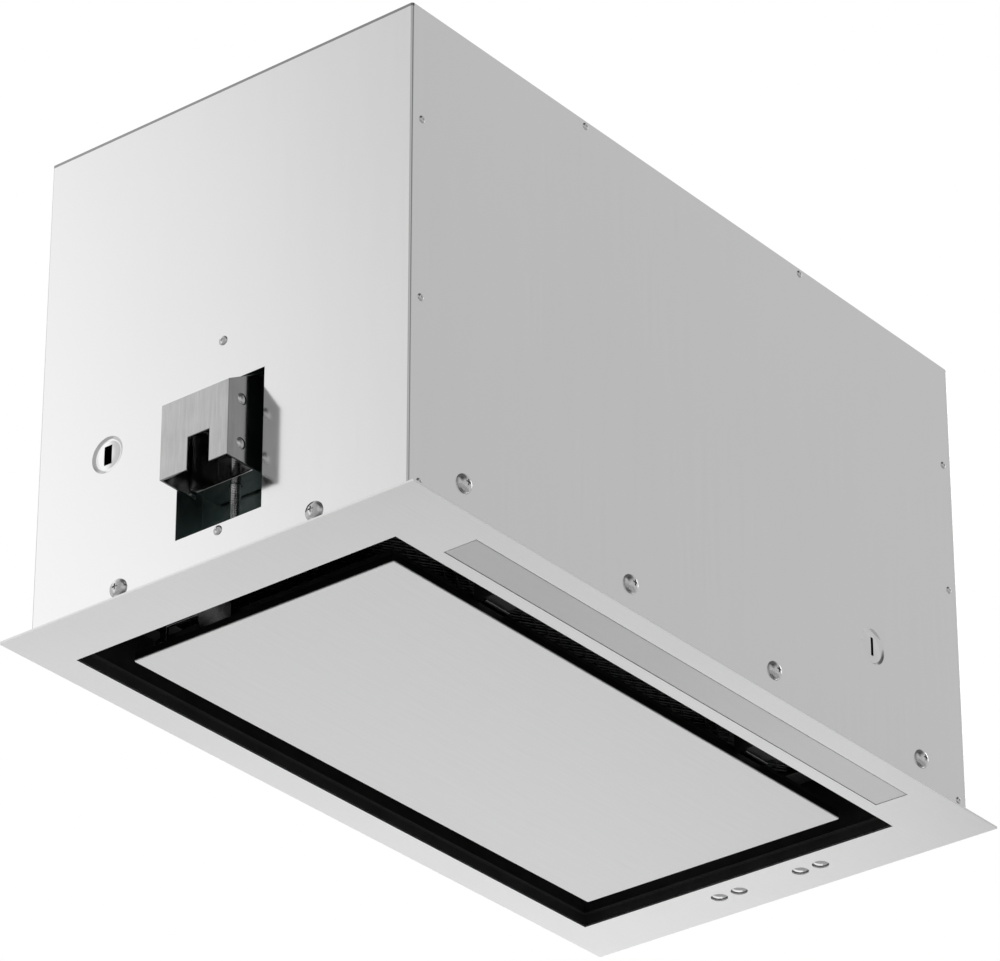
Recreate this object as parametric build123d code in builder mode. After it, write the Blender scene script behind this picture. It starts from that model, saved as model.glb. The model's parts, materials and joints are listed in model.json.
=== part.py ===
from build123d import *

import os
from math import cos, radians, sin

# Built-in ceiling range hood with a perimeter suction panel, in millimetres.
# The origin is the centre of the frame's lower face. +Z points up into the cabinet, +X points to the end
# with the push buttons, and -Y is the long side with the light.

os.makedirs("parts", exist_ok=True)

# ------------------------------------------------------------------ driving dimensions

# frame that shows below the cabinet
FRAME_LENGTH = 520.0
FRAME_WIDTH = 285.0
FRAME_SHEET = 1.2
OPENING_LENGTH = 441.0
OPENING_WIDTH = 221.0
OPENING_Y = 12.5

# body above the frame
BODY_LENGTH = 498.0
BODY_WIDTH = 260.0
BODY_TOP = 300.0
SHEET = 0.8
CORNER_RETURN = 3.0
INNER_RETURN = 13.0

# suction panel, hinged along its rear side
PANEL_LENGTH = 394.5
PANEL_WIDTH = 180.4
PANEL_Y = 12.6
PANEL_BOTTOM = 2.0
PANEL_RIM = 5.0
CARRIER_INSET_X = 8.5
CARRIER_INSET_Y = 8.0
CARRIER_TOP = 16.0
HINGE_Y = 88.0
HINGE_Z = 8.0
HINGE_PIN_RADIUS = 2.5

# light
LENS_LENGTH = 383.5
LENS_WIDTH = 21.2
LENS_Y = -117.3

# push buttons
BUTTON_X = 236.4
BUTTON_Y = (-36.2, -21.9, 21.9, 36.2)
BUTTON_NAMES = ("light_button", "low_speed_button", "high_speed_button", "power_button")
BUTTON_RADIUS = 4.7
BUTTON_TRAVEL = 1.5

# clamps in the windows of both ends
CLAMP_Y = -1.5
WINDOW_WIDTH = 59.5
WINDOW_BOTTOM = 28.0
WINDOW_TOP = 112.0
CLAMP_WIDTH = 47.0
CLAMP_REACH = 20.5
CLAMP_BOTTOM = 53.0
CLAMP_TOP = 98.0
CLAMP_SHEET = 1.5
CLAMP_STROKE = 17.0
CLAMP_SCREW_X = 236.0
CLAMP_SCREW_RADIUS = 3.0

# suction box, filter and deck
BOX_TOP = 60.0
FILTER_BOTTOM = 38.0
FILTER_THICKNESS = 10.0

# blower
BLOWER_Y = -10.0
BLOWER_Z = 168.0
BLOWER_HALF_WIDTH = 66.0
WHEEL_RADIUS = 62.0
WHEEL_HALF_WIDTH = 58.0
SCROLL_SMALL_RADIUS = 68.0
SCROLL_LARGE_RADIUS = 104.0
SCROLL_TOP = 272.0
SCROLL_SHEET = 1.2

# air outlet
COLLAR_Y = 35.0
COLLAR_RADIUS = 74.5
COLLAR_WALL = 1.0
COLLAR_TOP = 345.0
DAMPER_Z = 318.0
DAMPER_SHAFT_RADIUS = 2.0

# fits, and how far a cutter runs past the face that it cuts
RUNNING = 0.06
GAP = 0.3
PAST = 1.0

# worked out from the dimensions above
HALF_BODY_LENGTH = BODY_LENGTH / 2
HALF_BODY_WIDTH = BODY_WIDTH / 2
INSIDE_X = HALF_BODY_LENGTH - SHEET
INSIDE_Y = HALF_BODY_WIDTH - SHEET
BOX_X = OPENING_LENGTH / 2 + SHEET
BOX_FRONT = OPENING_Y - OPENING_WIDTH / 2 - SHEET
BOX_REAR = OPENING_Y + OPENING_WIDTH / 2 + SHEET
DECK_TOP = BOX_TOP + SHEET


def block(x_span, y_span, z_span, mode=Mode.ADD):
    """Add or cut a rectangular block between two corners of the piece that is being built."""
    middle = [(span[0] + span[1]) / 2 for span in (x_span, y_span, z_span)]
    size = [abs(span[1] - span[0]) for span in (x_span, y_span, z_span)]
    with Locations(tuple(middle)):
        Box(*size, mode=mode)


def rod(start, axis, radius, length, mode=Mode.ADD):
    """Add or cut a round bar that starts at a point and runs along an axis direction."""
    with Locations(Plane(origin=start, z_dir=axis)):
        Cylinder(radius, length, align=(Align.CENTER, Align.CENTER, Align.MIN), mode=mode)


def button_head(point, outward, radius, height):
    """Add a low domed screw or rivet head that stands on a wall, with its crown pointing outward."""
    seat = Plane(origin=point, z_dir=outward)
    standing = (Align.CENTER, Align.CENTER, Align.MIN)
    with Locations(seat):
        Cylinder(radius, height * 0.4, align=standing)
    with Locations(seat.offset(height * 0.4)):
        Cone(radius, radius * 0.55, height * 0.6, align=standing)


# ------------------------------------------------------------------ frame

SCREW_X = (-204.5, -64.5, 64.5, 204.5)
SCREW_Z = 26.5
END_SCREW_Y = (-67.5, 67.5)
END_SCREW_Z = 13.0
SCREW_HOLE_RADIUS = 2.15
SKIRT_HEIGHT = 36.0
END_SKIRT_HEIGHT = 18.0
SKIRT_HALF_LENGTH = 230.0
END_SKIRT_HALF_WIDTH = 110.0
BUTTON_HOLE_RADIUS = 5.0
LENS_CLEARANCE = 0.25

with BuildPart() as trim_frame:
    with BuildSketch():
        Rectangle(FRAME_LENGTH, FRAME_WIDTH)
        with Locations((0, OPENING_Y)):
            Rectangle(OPENING_LENGTH, OPENING_WIDTH, mode=Mode.SUBTRACT)
        with Locations((0, LENS_Y)):
            Rectangle(LENS_LENGTH + 2 * LENS_CLEARANCE, LENS_WIDTH + 2 * LENS_CLEARANCE, mode=Mode.SUBTRACT)
        with Locations([(BUTTON_X, y) for y in BUTTON_Y]):
            Circle(BUTTON_HOLE_RADIUS, mode=Mode.SUBTRACT)
    extrude(amount=FRAME_SHEET)
    for side in (-1, 1):
        block(
            (-SKIRT_HALF_LENGTH, SKIRT_HALF_LENGTH),
            (side * INSIDE_Y, side * (INSIDE_Y - SHEET)),
            (FRAME_SHEET, SKIRT_HEIGHT),
        )
        block(
            (side * INSIDE_X, side * (INSIDE_X - SHEET)),
            (-END_SKIRT_HALF_WIDTH, END_SKIRT_HALF_WIDTH),
            (FRAME_SHEET, END_SKIRT_HEIGHT),
        )
        for x in SCREW_X:
            rod((x, side * INSIDE_Y, SCREW_Z), (0, -side, 0), SCREW_HOLE_RADIUS, 2 * SHEET, Mode.SUBTRACT)
        for y in END_SCREW_Y:
            rod((side * INSIDE_X, y, END_SCREW_Z), (-side, 0, 0), SCREW_HOLE_RADIUS, 2 * SHEET, Mode.SUBTRACT)
trim_frame.part.label = "trim_frame"
export_step(trim_frame.part, "parts/trim_frame.step")

# ------------------------------------------------------------------ body panels

KNOCKOUT_RADIUS = 11.0
KNOCKOUT_GROOVE = 0.9
KNOCKOUT_TAB = 3.0
KNOCKOUT_TURN = 40.0
PRY_SLOT_WIDTH = 5.5
NARROW_PRY_SLOT_WIDTH = 2.4
PRY_SLOT_HEIGHT = 11.5
PRY_SLOT_CORNER = 0.4
LEFT_KNOCKOUT = (79.4, 97.8)
FRONT_KNOCKOUT = (160.4, 80.2)
CORNER_RADIUS = 1.5


def knockout(face, slot_width):
    """Cut a cable knock-out: a groove that two tabs interrupt, and a slot to pry it out."""
    with BuildSketch(face) as groove:
        Circle(KNOCKOUT_RADIUS)
        Circle(KNOCKOUT_RADIUS - KNOCKOUT_GROOVE, mode=Mode.SUBTRACT)
        Rectangle(3 * KNOCKOUT_RADIUS, KNOCKOUT_TAB, rotation=KNOCKOUT_TURN, mode=Mode.SUBTRACT)
        RectangleRounded(slot_width, PRY_SLOT_HEIGHT, PRY_SLOT_CORNER)
    extrude(groove.sketch, amount=3 * SHEET, both=True, mode=Mode.SUBTRACT)


def end_panel(side, with_knockout):
    """An end wall of the body: it wraps both corners and passes behind the long walls."""
    full_height = (FRAME_SHEET, BODY_TOP)
    seam_x = HALF_BODY_LENGTH - CORNER_RETURN
    with BuildPart() as panel:
        block((side * HALF_BODY_LENGTH, side * INSIDE_X), (-HALF_BODY_WIDTH, HALF_BODY_WIDTH), full_height)
        for face in (-1, 1):
            outside = face * HALF_BODY_WIDTH
            inside = face * INSIDE_Y
            behind = face * (INSIDE_Y - SHEET)
            block((side * (HALF_BODY_LENGTH - SHEET / 2), side * seam_x), (outside, inside), full_height)
            block((side * seam_x, side * (seam_x + SHEET)), (outside, behind), full_height)
            block((side * seam_x, side * (seam_x - INNER_RETURN)), (inside, behind), full_height)
        corners = panel.edges().filter_by(Axis.Z).group_by(SortBy.DISTANCE)[-1]
        fillet(corners.filter_by(lambda e: abs(abs(e.center().Y) - HALF_BODY_WIDTH) < 0.01), CORNER_RADIUS)
        block(
            (side * (HALF_BODY_LENGTH + PAST), side * (INSIDE_X - PAST)),
            (CLAMP_Y - WINDOW_WIDTH / 2, CLAMP_Y + WINDOW_WIDTH / 2),
            (WINDOW_BOTTOM, WINDOW_TOP),
            Mode.SUBTRACT,
        )
        for y in END_SCREW_Y:
            centre = (side * HALF_BODY_LENGTH, y, END_SCREW_Z)
            rod(centre, (-side, 0, 0), SCREW_HOLE_RADIUS, 2 * SHEET, Mode.SUBTRACT)
        if with_knockout:
            centre = (side * HALF_BODY_LENGTH, *LEFT_KNOCKOUT)
            knockout(Plane(origin=centre, x_dir=(0, 1, 0), z_dir=(side, 0, 0)), PRY_SLOT_WIDTH)
    return panel


left_end_panel = end_panel(-1, with_knockout=True)
left_end_panel.part.label = "left_end_panel"
export_step(left_end_panel.part, "parts/left_end_panel.step")

right_end_panel = end_panel(1, with_knockout=False)
right_end_panel.part.label = "right_end_panel"
export_step(right_end_panel.part, "parts/right_end_panel.step")

for face, panel_name in ((-1, "front_panel"), (1, "rear_panel")):
    with BuildPart() as long_panel:
        block(
            (-(HALF_BODY_LENGTH - CORNER_RETURN), HALF_BODY_LENGTH - CORNER_RETURN),
            (face * HALF_BODY_WIDTH, face * INSIDE_Y),
            (FRAME_SHEET, BODY_TOP),
        )
        for x in SCREW_X:
            rod((x, face * HALF_BODY_WIDTH, SCREW_Z), (0, -face, 0), SCREW_HOLE_RADIUS, SHEET, Mode.SUBTRACT)
        if face < 0:
            centre = (FRONT_KNOCKOUT[0], -HALF_BODY_WIDTH, FRONT_KNOCKOUT[1])
            knockout(Plane(origin=centre, x_dir=(1, 0, 0), z_dir=(0, -1, 0)), NARROW_PRY_SLOT_WIDTH)
    long_panel.part.label = panel_name
    export_step(long_panel.part, f"parts/{panel_name}.step")

TOP_FLANGE = 12.0
TOP_MARGIN = 0.1
RETURN_NOTCH = CORNER_RETURN + INNER_RETURN + 1.0

with BuildPart() as top_panel:
    top_x = INSIDE_X - TOP_MARGIN
    top_y = INSIDE_Y - SHEET - TOP_MARGIN
    flange_y = INSIDE_Y - TOP_MARGIN
    notch_x = HALF_BODY_LENGTH - RETURN_NOTCH
    flange_z = (BODY_TOP - TOP_FLANGE, BODY_TOP)
    block((-top_x, top_x), (-top_y, top_y), (BODY_TOP - SHEET, BODY_TOP))
    for side in (-1, 1):
        block((-notch_x, notch_x), (side * flange_y, side * (top_y - SHEET)), (BODY_TOP - SHEET, BODY_TOP))
        block((-notch_x, notch_x), (side * flange_y, side * (flange_y - SHEET)), flange_z)
        block((side * top_x, side * (top_x - SHEET)), (1 - top_y, top_y - 1), flange_z)
    rod(
        (0, COLLAR_Y, BODY_TOP - SHEET - PAST), (0, 0, 1), COLLAR_RADIUS - COLLAR_WALL, SHEET + 2 * PAST,
        Mode.SUBTRACT,
    )
top_panel.part.label = "top_panel"
export_step(top_panel.part, "parts/top_panel.step")

# ------------------------------------------------------------------ screws and rivets of the body

SCREW_HEAD_RADIUS = 5.6
SCREW_HEAD_HEIGHT = 3.4
SCREW_SHANK_RADIUS = 2.0
END_SCREW_LENGTH = 7.0
RIVET_RADIUS = 2.2
RIVET_HEIGHT = 0.9
RIVET_X = HALF_BODY_LENGTH - 8.5
LEFT_RIVET_Z = (12.0, 121.0, 230.0)
RIGHT_RIVET_Z = (14.0, 149.0, 232.0)
TOP_RIVET_X = (-100.0, 100.0)
TOP_RIVET_Z = BODY_TOP - 3.5
GUIDE_SCREW_Z = (24.3, 138.7)
GUIDE_SCREW_RADIUS = 2.8
GUIDE_SCREW_HEIGHT = 1.3

with BuildPart() as flange_screws:
    for side in (-1, 1):
        for x in SCREW_X:
            seat = (x, side * HALF_BODY_WIDTH, SCREW_Z)
            button_head(seat, (0, side, 0), SCREW_HEAD_RADIUS, SCREW_HEAD_HEIGHT)
            rod(seat, (0, -side, 0), SCREW_SHANK_RADIUS, 2 * SHEET)
        for y in END_SCREW_Y:
            seat = (side * HALF_BODY_LENGTH, y, END_SCREW_Z)
            button_head(seat, (side, 0, 0), SCREW_HEAD_RADIUS, SCREW_HEAD_HEIGHT)
            rod(seat, (-side, 0, 0), SCREW_SHANK_RADIUS, END_SCREW_LENGTH)
flange_screws.part.label = "flange_screws"
export_step(flange_screws.part, "parts/flange_screws.step")

with BuildPart() as body_rivets:
    for face in (-1, 1):
        for z in LEFT_RIVET_Z:
            button_head((-RIVET_X, face * HALF_BODY_WIDTH, z), (0, face, 0), RIVET_RADIUS, RIVET_HEIGHT)
        for z in RIGHT_RIVET_Z:
            button_head((RIVET_X, face * HALF_BODY_WIDTH, z), (0, face, 0), RIVET_RADIUS, RIVET_HEIGHT)
        for x in TOP_RIVET_X:
            button_head((x, face * HALF_BODY_WIDTH, TOP_RIVET_Z), (0, face, 0), RIVET_RADIUS, RIVET_HEIGHT)
body_rivets.part.label = "body_rivets"
export_step(body_rivets.part, "parts/body_rivets.step")

with BuildPart() as guide_screws:
    for side in (-1, 1):
        for z in GUIDE_SCREW_Z:
            seat = (side * HALF_BODY_LENGTH, CLAMP_Y, z)
            button_head(seat, (side, 0, 0), GUIDE_SCREW_RADIUS, GUIDE_SCREW_HEIGHT)
guide_screws.part.label = "guide_screws"
export_step(guide_screws.part, "parts/guide_screws.step")

# ------------------------------------------------------------------ suction box behind the opening

LIP_Z = (8.0, 9.0)
LIP_REACH = 2.0
END_FOOT = 6.0
LONG_FOOT = 3.5
LATCH_HALF_WIDTH = 10.0
LATCH_Z = (35.2, 37.2)
LATCH_SLOT_MARGIN = 0.5
CONTROL_Y = 46.0

with BuildPart() as suction_box:
    foot_z = (FRAME_SHEET, FRAME_SHEET + SHEET)
    outer_x = BOX_X + SHEET
    block((-outer_x, outer_x), (BOX_FRONT - SHEET, BOX_REAR + SHEET), (FRAME_SHEET, BOX_TOP))
    block((-BOX_X, BOX_X), (BOX_FRONT, BOX_REAR), (FRAME_SHEET - PAST, BOX_TOP + PAST), Mode.SUBTRACT)
    for side in (-1, 1):
        block((side * BOX_X, side * (BOX_X - LIP_REACH)), (BOX_FRONT, BOX_REAR), LIP_Z)
        block((side * outer_x, side * (outer_x + END_FOOT)), (BOX_FRONT - SHEET, BOX_REAR + SHEET), foot_z)
    for wall, outward in ((BOX_FRONT, -1), (BOX_REAR, 1)):
        block((-BOX_X, BOX_X), (wall, wall - outward * LIP_REACH), LIP_Z)
        block((-outer_x, outer_x), (wall + outward * SHEET, wall + outward * (SHEET + LONG_FOOT)), foot_z)
    block((outer_x, outer_x + END_FOOT + PAST), (-CONTROL_Y - 1, CONTROL_Y + 1), foot_z, Mode.SUBTRACT)
    block(
        (-LATCH_HALF_WIDTH - LATCH_SLOT_MARGIN, LATCH_HALF_WIDTH + LATCH_SLOT_MARGIN),
        (BOX_FRONT - PAST, BOX_FRONT + 0.01),
        (LATCH_Z[0] - LATCH_SLOT_MARGIN, LATCH_Z[1] + LATCH_SLOT_MARGIN),
        Mode.SUBTRACT,
    )
suction_box.part.label = "suction_box"
export_step(suction_box.part, "parts/suction_box.step")

DECK_INLET_X = (95.0, 205.0)
DECK_INLET_Y = (-72.0, 97.0)
GUIDE_HALF_WIDTH = 34.0
GUIDE_CUTOUT_MARGIN = 1.0

with BuildPart() as plenum_deck:
    deck_x = INSIDE_X - SHEET
    deck_y = INSIDE_Y - 1
    cut_z = (BOX_TOP - PAST, DECK_TOP + PAST)
    cutout = GUIDE_HALF_WIDTH + GUIDE_CUTOUT_MARGIN
    block((-deck_x, deck_x), (-deck_y, deck_y), (BOX_TOP, DECK_TOP))
    for side in (-1, 1):
        block(
            (side * INSIDE_X, side * (BOX_X + SHEET + 0.2)), (CLAMP_Y - cutout, CLAMP_Y + cutout), cut_z,
            Mode.SUBTRACT,
        )
        block((side * DECK_INLET_X[0], side * DECK_INLET_X[1]), DECK_INLET_Y, cut_z, Mode.SUBTRACT)
plenum_deck.part.label = "plenum_deck"
export_step(plenum_deck.part, "parts/plenum_deck.step")

# ------------------------------------------------------------------ grease filter

RAIL_X = 215.0
RAIL_THICKNESS = 1.5
RAIL_DEPTH = 9.0
RAIL_LATCH_MARGIN = 4.0
FILTER_TOP = FILTER_BOTTOM + FILTER_THICKNESS
FILTER_X = 208.0
FILTER_Y = (-94.0, 119.0)
FILTER_BORDER = 14.0
MESH_INSET = 2.0
LATCH_GUIDE_Y = (-93.0, -82.0)
LATCH_GUIDE_WALL = 2.0
LATCH_GUIDE_LIP = 3.0
LATCH_GUIDE_BOTTOM = LATCH_Z[0] - 1.6

with BuildPart() as filter_rails:
    shelf_z = (FILTER_BOTTOM - RAIL_THICKNESS, FILTER_BOTTOM)
    for wall, inward in ((BOX_FRONT, 1), (BOX_REAR, -1)):
        block((-RAIL_X, RAIL_X), (wall, wall + inward * RAIL_DEPTH), shelf_z)
        block((-RAIL_X, RAIL_X), (wall, wall + inward * RAIL_THICKNESS), (FILTER_BOTTOM, FILTER_TOP))
    block(
        (-LATCH_HALF_WIDTH - RAIL_LATCH_MARGIN, LATCH_HALF_WIDTH + RAIL_LATCH_MARGIN),
        (BOX_FRONT - PAST, BOX_FRONT + RAIL_DEPTH + PAST),
        (FILTER_BOTTOM - RAIL_THICKNESS - PAST, FILTER_BOTTOM),
        Mode.SUBTRACT,
    )
filter_rails.part.label = "filter_rails"
export_step(filter_rails.part, "parts/filter_rails.step")

with BuildPart() as grease_filter_frame:
    block((-FILTER_X, FILTER_X), FILTER_Y, (FILTER_BOTTOM, FILTER_TOP))
    block(
        (-FILTER_X + FILTER_BORDER, FILTER_X - FILTER_BORDER),
        (FILTER_Y[0] + FILTER_BORDER, FILTER_Y[1] - FILTER_BORDER),
        (FILTER_BOTTOM - PAST, FILTER_TOP + PAST),
        Mode.SUBTRACT,
    )
    for side in (-1, 1):
        wall_x = (side * (LATCH_HALF_WIDTH + GAP), side * (LATCH_HALF_WIDTH + GAP + LATCH_GUIDE_WALL))
        lip_x = (wall_x[0] - side * LATCH_GUIDE_LIP, wall_x[1])
        block(wall_x, LATCH_GUIDE_Y, (LATCH_GUIDE_BOTTOM, FILTER_BOTTOM))
        block(lip_x, LATCH_GUIDE_Y, (LATCH_GUIDE_BOTTOM, LATCH_Z[0] - GAP))
grease_filter_frame.part.label = "grease_filter_frame"
export_step(grease_filter_frame.part, "parts/grease_filter_frame.step")

with BuildPart() as grease_filter_mesh:
    block(
        (-FILTER_X + FILTER_BORDER, FILTER_X - FILTER_BORDER),
        (FILTER_Y[0] + FILTER_BORDER, FILTER_Y[1] - FILTER_BORDER),
        (FILTER_BOTTOM + MESH_INSET, FILTER_TOP - MESH_INSET),
    )
grease_filter_mesh.part.label = "grease_filter_mesh"
export_step(grease_filter_mesh.part, "parts/grease_filter_mesh.step")

HANDLE_X = 22.0
HANDLE_Y = FILTER_Y[1] - FILTER_BORDER / 2
HANDLE_Z = FILTER_BOTTOM - 5.5
HANDLE_WIRE = 2.0
HANDLE_BEND = 3.0

with BuildPart() as filter_handle:
    with BuildLine() as handle_wire:
        FilletPolyline(
            (-HANDLE_X, HANDLE_Y, FILTER_BOTTOM),
            (-HANDLE_X, HANDLE_Y, HANDLE_Z),
            (HANDLE_X, HANDLE_Y, HANDLE_Z),
            (HANDLE_X, HANDLE_Y, FILTER_BOTTOM),
            radius=HANDLE_BEND,
        )
    with BuildSketch(Plane(origin=handle_wire.line @ 0, z_dir=handle_wire.line % 0)):
        Circle(HANDLE_WIRE)
    sweep()
filter_handle.part.label = "filter_handle"
export_step(filter_handle.part, "parts/filter_handle.step")

LATCH_REACH = 1.9
LATCH_REAR = -72.0
LATCH_TAB_HEIGHT = 8.0
LATCH_TAB_THICKNESS = 2.0
LATCH_BEVEL = 1.2

with BuildPart() as filter_latch:
    latch_x = (-LATCH_HALF_WIDTH, LATCH_HALF_WIDTH)
    block(latch_x, (BOX_FRONT - SHEET - LATCH_REACH, LATCH_REAR), LATCH_Z)
    tab_y = (LATCH_REAR - LATCH_TAB_THICKNESS, LATCH_REAR)
    block(latch_x, tab_y, (LATCH_Z[0] - LATCH_TAB_HEIGHT, LATCH_Z[0]))
    latch_tip = filter_latch.edges().filter_by(Axis.X).group_by(Axis.Y)[0].sort_by(Axis.Z)[-1]
    chamfer(latch_tip, LATCH_BEVEL)
filter_latch.part.label = "filter_latch"
export_step(filter_latch.part, "parts/filter_latch.step")

# ------------------------------------------------------------------ suction panel

PANEL_X = PANEL_LENGTH / 2
PANEL_FRONT = PANEL_Y - PANEL_WIDTH / 2
PANEL_REAR = PANEL_Y + PANEL_WIDTH / 2
PANEL_CORNER = 1.0
PANEL_EDGE = 0.5
CARRIER_X = PANEL_X - CARRIER_INSET_X
CARRIER_FRONT = PANEL_FRONT + CARRIER_INSET_Y
CARRIER_REAR = PANEL_REAR - CARRIER_INSET_Y
CARRIER_BOTTOM = PANEL_BOTTOM + SHEET
CARRIER_SHEET = 1.0
PIN_INNER_X = CARRIER_X - 8.0
PIN_OUTER_X = PANEL_X - 1.5

with BuildPart() as suction_panel:
    block((-PANEL_X, PANEL_X), (PANEL_FRONT, PANEL_REAR), (PANEL_BOTTOM, PANEL_BOTTOM + PANEL_RIM))
    fillet(suction_panel.edges().filter_by(Axis.Z), PANEL_CORNER)
    fillet(suction_panel.faces().sort_by(Axis.Z)[0].edges(), PANEL_EDGE)
    block(
        (-PANEL_X + SHEET, PANEL_X - SHEET),
        (PANEL_FRONT + SHEET, PANEL_REAR - SHEET),
        (CARRIER_BOTTOM, PANEL_BOTTOM + PANEL_RIM + PAST),
        Mode.SUBTRACT,
    )
suction_panel.part.label = "suction_panel"
export_step(suction_panel.part, "parts/suction_panel.step")

with BuildPart() as panel_carrier:
    block((-CARRIER_X, CARRIER_X), (CARRIER_FRONT, CARRIER_REAR), (CARRIER_BOTTOM, CARRIER_TOP))
    block(
        (-CARRIER_X + CARRIER_SHEET, CARRIER_X - CARRIER_SHEET),
        (CARRIER_FRONT + CARRIER_SHEET, CARRIER_REAR - CARRIER_SHEET),
        (CARRIER_BOTTOM - PAST, CARRIER_TOP - CARRIER_SHEET),
        Mode.SUBTRACT,
    )
    for side in (-1, 1):
        start = (side * (CARRIER_X + PAST), HINGE_Y, HINGE_Z)
        rod(start, (-side, 0, 0), HINGE_PIN_RADIUS, CARRIER_SHEET + 2 * PAST, Mode.SUBTRACT)
panel_carrier.part.label = "panel_carrier"
export_step(panel_carrier.part, "parts/panel_carrier.step")

with BuildPart() as panel_hinge_pins:
    for side in (-1, 1):
        rod((side * PIN_INNER_X, HINGE_Y, HINGE_Z), (side, 0, 0), HINGE_PIN_RADIUS, PIN_OUTER_X - PIN_INNER_X)
panel_hinge_pins.part.label = "panel_hinge_pins"
export_step(panel_hinge_pins.part, "parts/panel_hinge_pins.step")

STRIKE_X = (105.0, 125.0)
STRIKE_Z = (8.2, 9.7)
STRIKE_REACH = 11.0
CATCH_REAR = -72.0
CATCH_TOP = 22.0

with BuildPart() as strike_plates:
    for side in (-1, 1):
        strike_y = (CARRIER_FRONT - STRIKE_REACH, CARRIER_FRONT)
        block((side * STRIKE_X[0], side * STRIKE_X[1]), strike_y, STRIKE_Z)
strike_plates.part.label = "strike_plates"
export_step(strike_plates.part, "parts/strike_plates.step")

with BuildPart() as magnet_catches:
    for side in (-1, 1):
        catch_z = (STRIKE_Z[1] + GAP, CATCH_TOP)
        block((side * STRIKE_X[0], side * STRIKE_X[1]), (BOX_FRONT, CATCH_REAR), catch_z)
magnet_catches.part.label = "magnet_catches"
export_step(magnet_catches.part, "parts/magnet_catches.step")

# each bracket is one bent plate: an eye leg, a shorter leg in front of it, and a foot over to the box's wall
EYE_PLATE_X = (191.8, 193.8)
EYE_RADIUS = 4.6
BRACKET_TOP = 34.0
BRACKET_SHEET = 1.5
STOP_LEG_Y = (37.5, 59.5)
STOP_LEG_BOTTOM = 8.0
ARCH_TOP = 18.0
ARCH_SLANT = 2.0
FOOT_TAB = 14.0

with BuildPart() as hinge_brackets:
    for side in (-1, 1):
        plate = Plane(origin=(side * EYE_PLATE_X[0], 0, 0), x_dir=(0, 1, 0), z_dir=(1, 0, 0))
        with BuildSketch(plate):
            with BuildLine():
                Polyline(
                    (STOP_LEG_Y[0], BRACKET_TOP),
                    (STOP_LEG_Y[0], STOP_LEG_BOTTOM),
                    (STOP_LEG_Y[1], STOP_LEG_BOTTOM),
                    (STOP_LEG_Y[1] + ARCH_SLANT, ARCH_TOP),
                    (HINGE_Y - EYE_RADIUS, ARCH_TOP),
                    (HINGE_Y - EYE_RADIUS, HINGE_Z),
                    (HINGE_Y, HINGE_Z),
                    (HINGE_Y, BRACKET_TOP),
                    close=True,
                )
            make_face()
            with Locations((HINGE_Y, HINGE_Z)):
                Circle(EYE_RADIUS)
                Circle(HINGE_PIN_RADIUS + RUNNING, mode=Mode.SUBTRACT)
        extrude(amount=side * (EYE_PLATE_X[1] - EYE_PLATE_X[0]))
        foot_top = BRACKET_TOP + BRACKET_SHEET
        foot_y = (STOP_LEG_Y[0], HINGE_Y)
        block((side * EYE_PLATE_X[0], side * BOX_X), foot_y, (BRACKET_TOP, foot_top))
        block((side * BOX_X, side * (BOX_X - BRACKET_SHEET)), foot_y, (BRACKET_TOP - FOOT_TAB, foot_top))
hinge_brackets.part.label = "hinge_brackets"
export_step(hinge_brackets.part, "parts/hinge_brackets.step")

# ------------------------------------------------------------------ light

LENS_BOTTOM = 0.2
LENS_STEP = 0.8
LENS_TOP = 2.8
LIGHT_WALL = 0.9
LIGHT_TOP = 18.0
LIGHT_OUTER_LENGTH = LENS_LENGTH + 2 * LIGHT_WALL - 1
LIGHT_OUTER_WIDTH = LENS_WIDTH + 2 * LIGHT_WALL - 1
EAR_LENGTH = 12.0
EAR_HALF_WIDTH = 7.0
EAR_SHEET = 1.0
LIGHT_BOARD_HALF_LENGTH = 188.0
LIGHT_BOARD_HALF_WIDTH = 7.0
BOARD_THICKNESS = 1.6
LIGHT_BOARD_Z = LIGHT_TOP - LIGHT_WALL - BOARD_THICKNESS
DIODE_SIZE = 3.0
DIODE_HEIGHT = 0.8
DIODE_COUNT = 24
DIODE_PITCH = 15.5
DRIVER_X = (30.0, 130.0)
DRIVER_DEPTH = 22.0
DRIVER_Z = (30.0, 52.0)
DRIVER_CORNER = 2.0

with BuildPart() as light_lens:
    with BuildSketch(Plane.XY.offset(LENS_BOTTOM)):
        with Locations((0, LENS_Y)):
            Rectangle(LENS_LENGTH, LENS_WIDTH)
    extrude(amount=FRAME_SHEET - LENS_BOTTOM)
    with BuildSketch(Plane.XY.offset(FRAME_SHEET)):
        with Locations((0, LENS_Y)):
            Rectangle(LENS_LENGTH - 2 * LENS_STEP, LENS_WIDTH - 2 * LENS_STEP)
    extrude(amount=LENS_TOP - FRAME_SHEET)
light_lens.part.label = "light_lens"
export_step(light_lens.part, "parts/light_lens.step")

with BuildPart() as light_housing:
    with BuildSketch(Plane.XY.offset(FRAME_SHEET)):
        with Locations((0, LENS_Y)):
            Rectangle(LIGHT_OUTER_LENGTH, LIGHT_OUTER_WIDTH)
    extrude(amount=LIGHT_TOP - FRAME_SHEET)
    with BuildSketch(Plane.XY.offset(FRAME_SHEET)):
        with Locations((0, LENS_Y)):
            Rectangle(LIGHT_OUTER_LENGTH - 2 * LIGHT_WALL, LIGHT_OUTER_WIDTH - 2 * LIGHT_WALL)
    extrude(amount=LIGHT_TOP - FRAME_SHEET - LIGHT_WALL, mode=Mode.SUBTRACT)
    for side in (-1, 1):
        ear_x = side * LIGHT_OUTER_LENGTH / 2
        block(
            (ear_x, ear_x + side * EAR_LENGTH),
            (LENS_Y - EAR_HALF_WIDTH, LENS_Y + EAR_HALF_WIDTH),
            (FRAME_SHEET, FRAME_SHEET + EAR_SHEET),
        )
light_housing.part.label = "light_housing"
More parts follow.
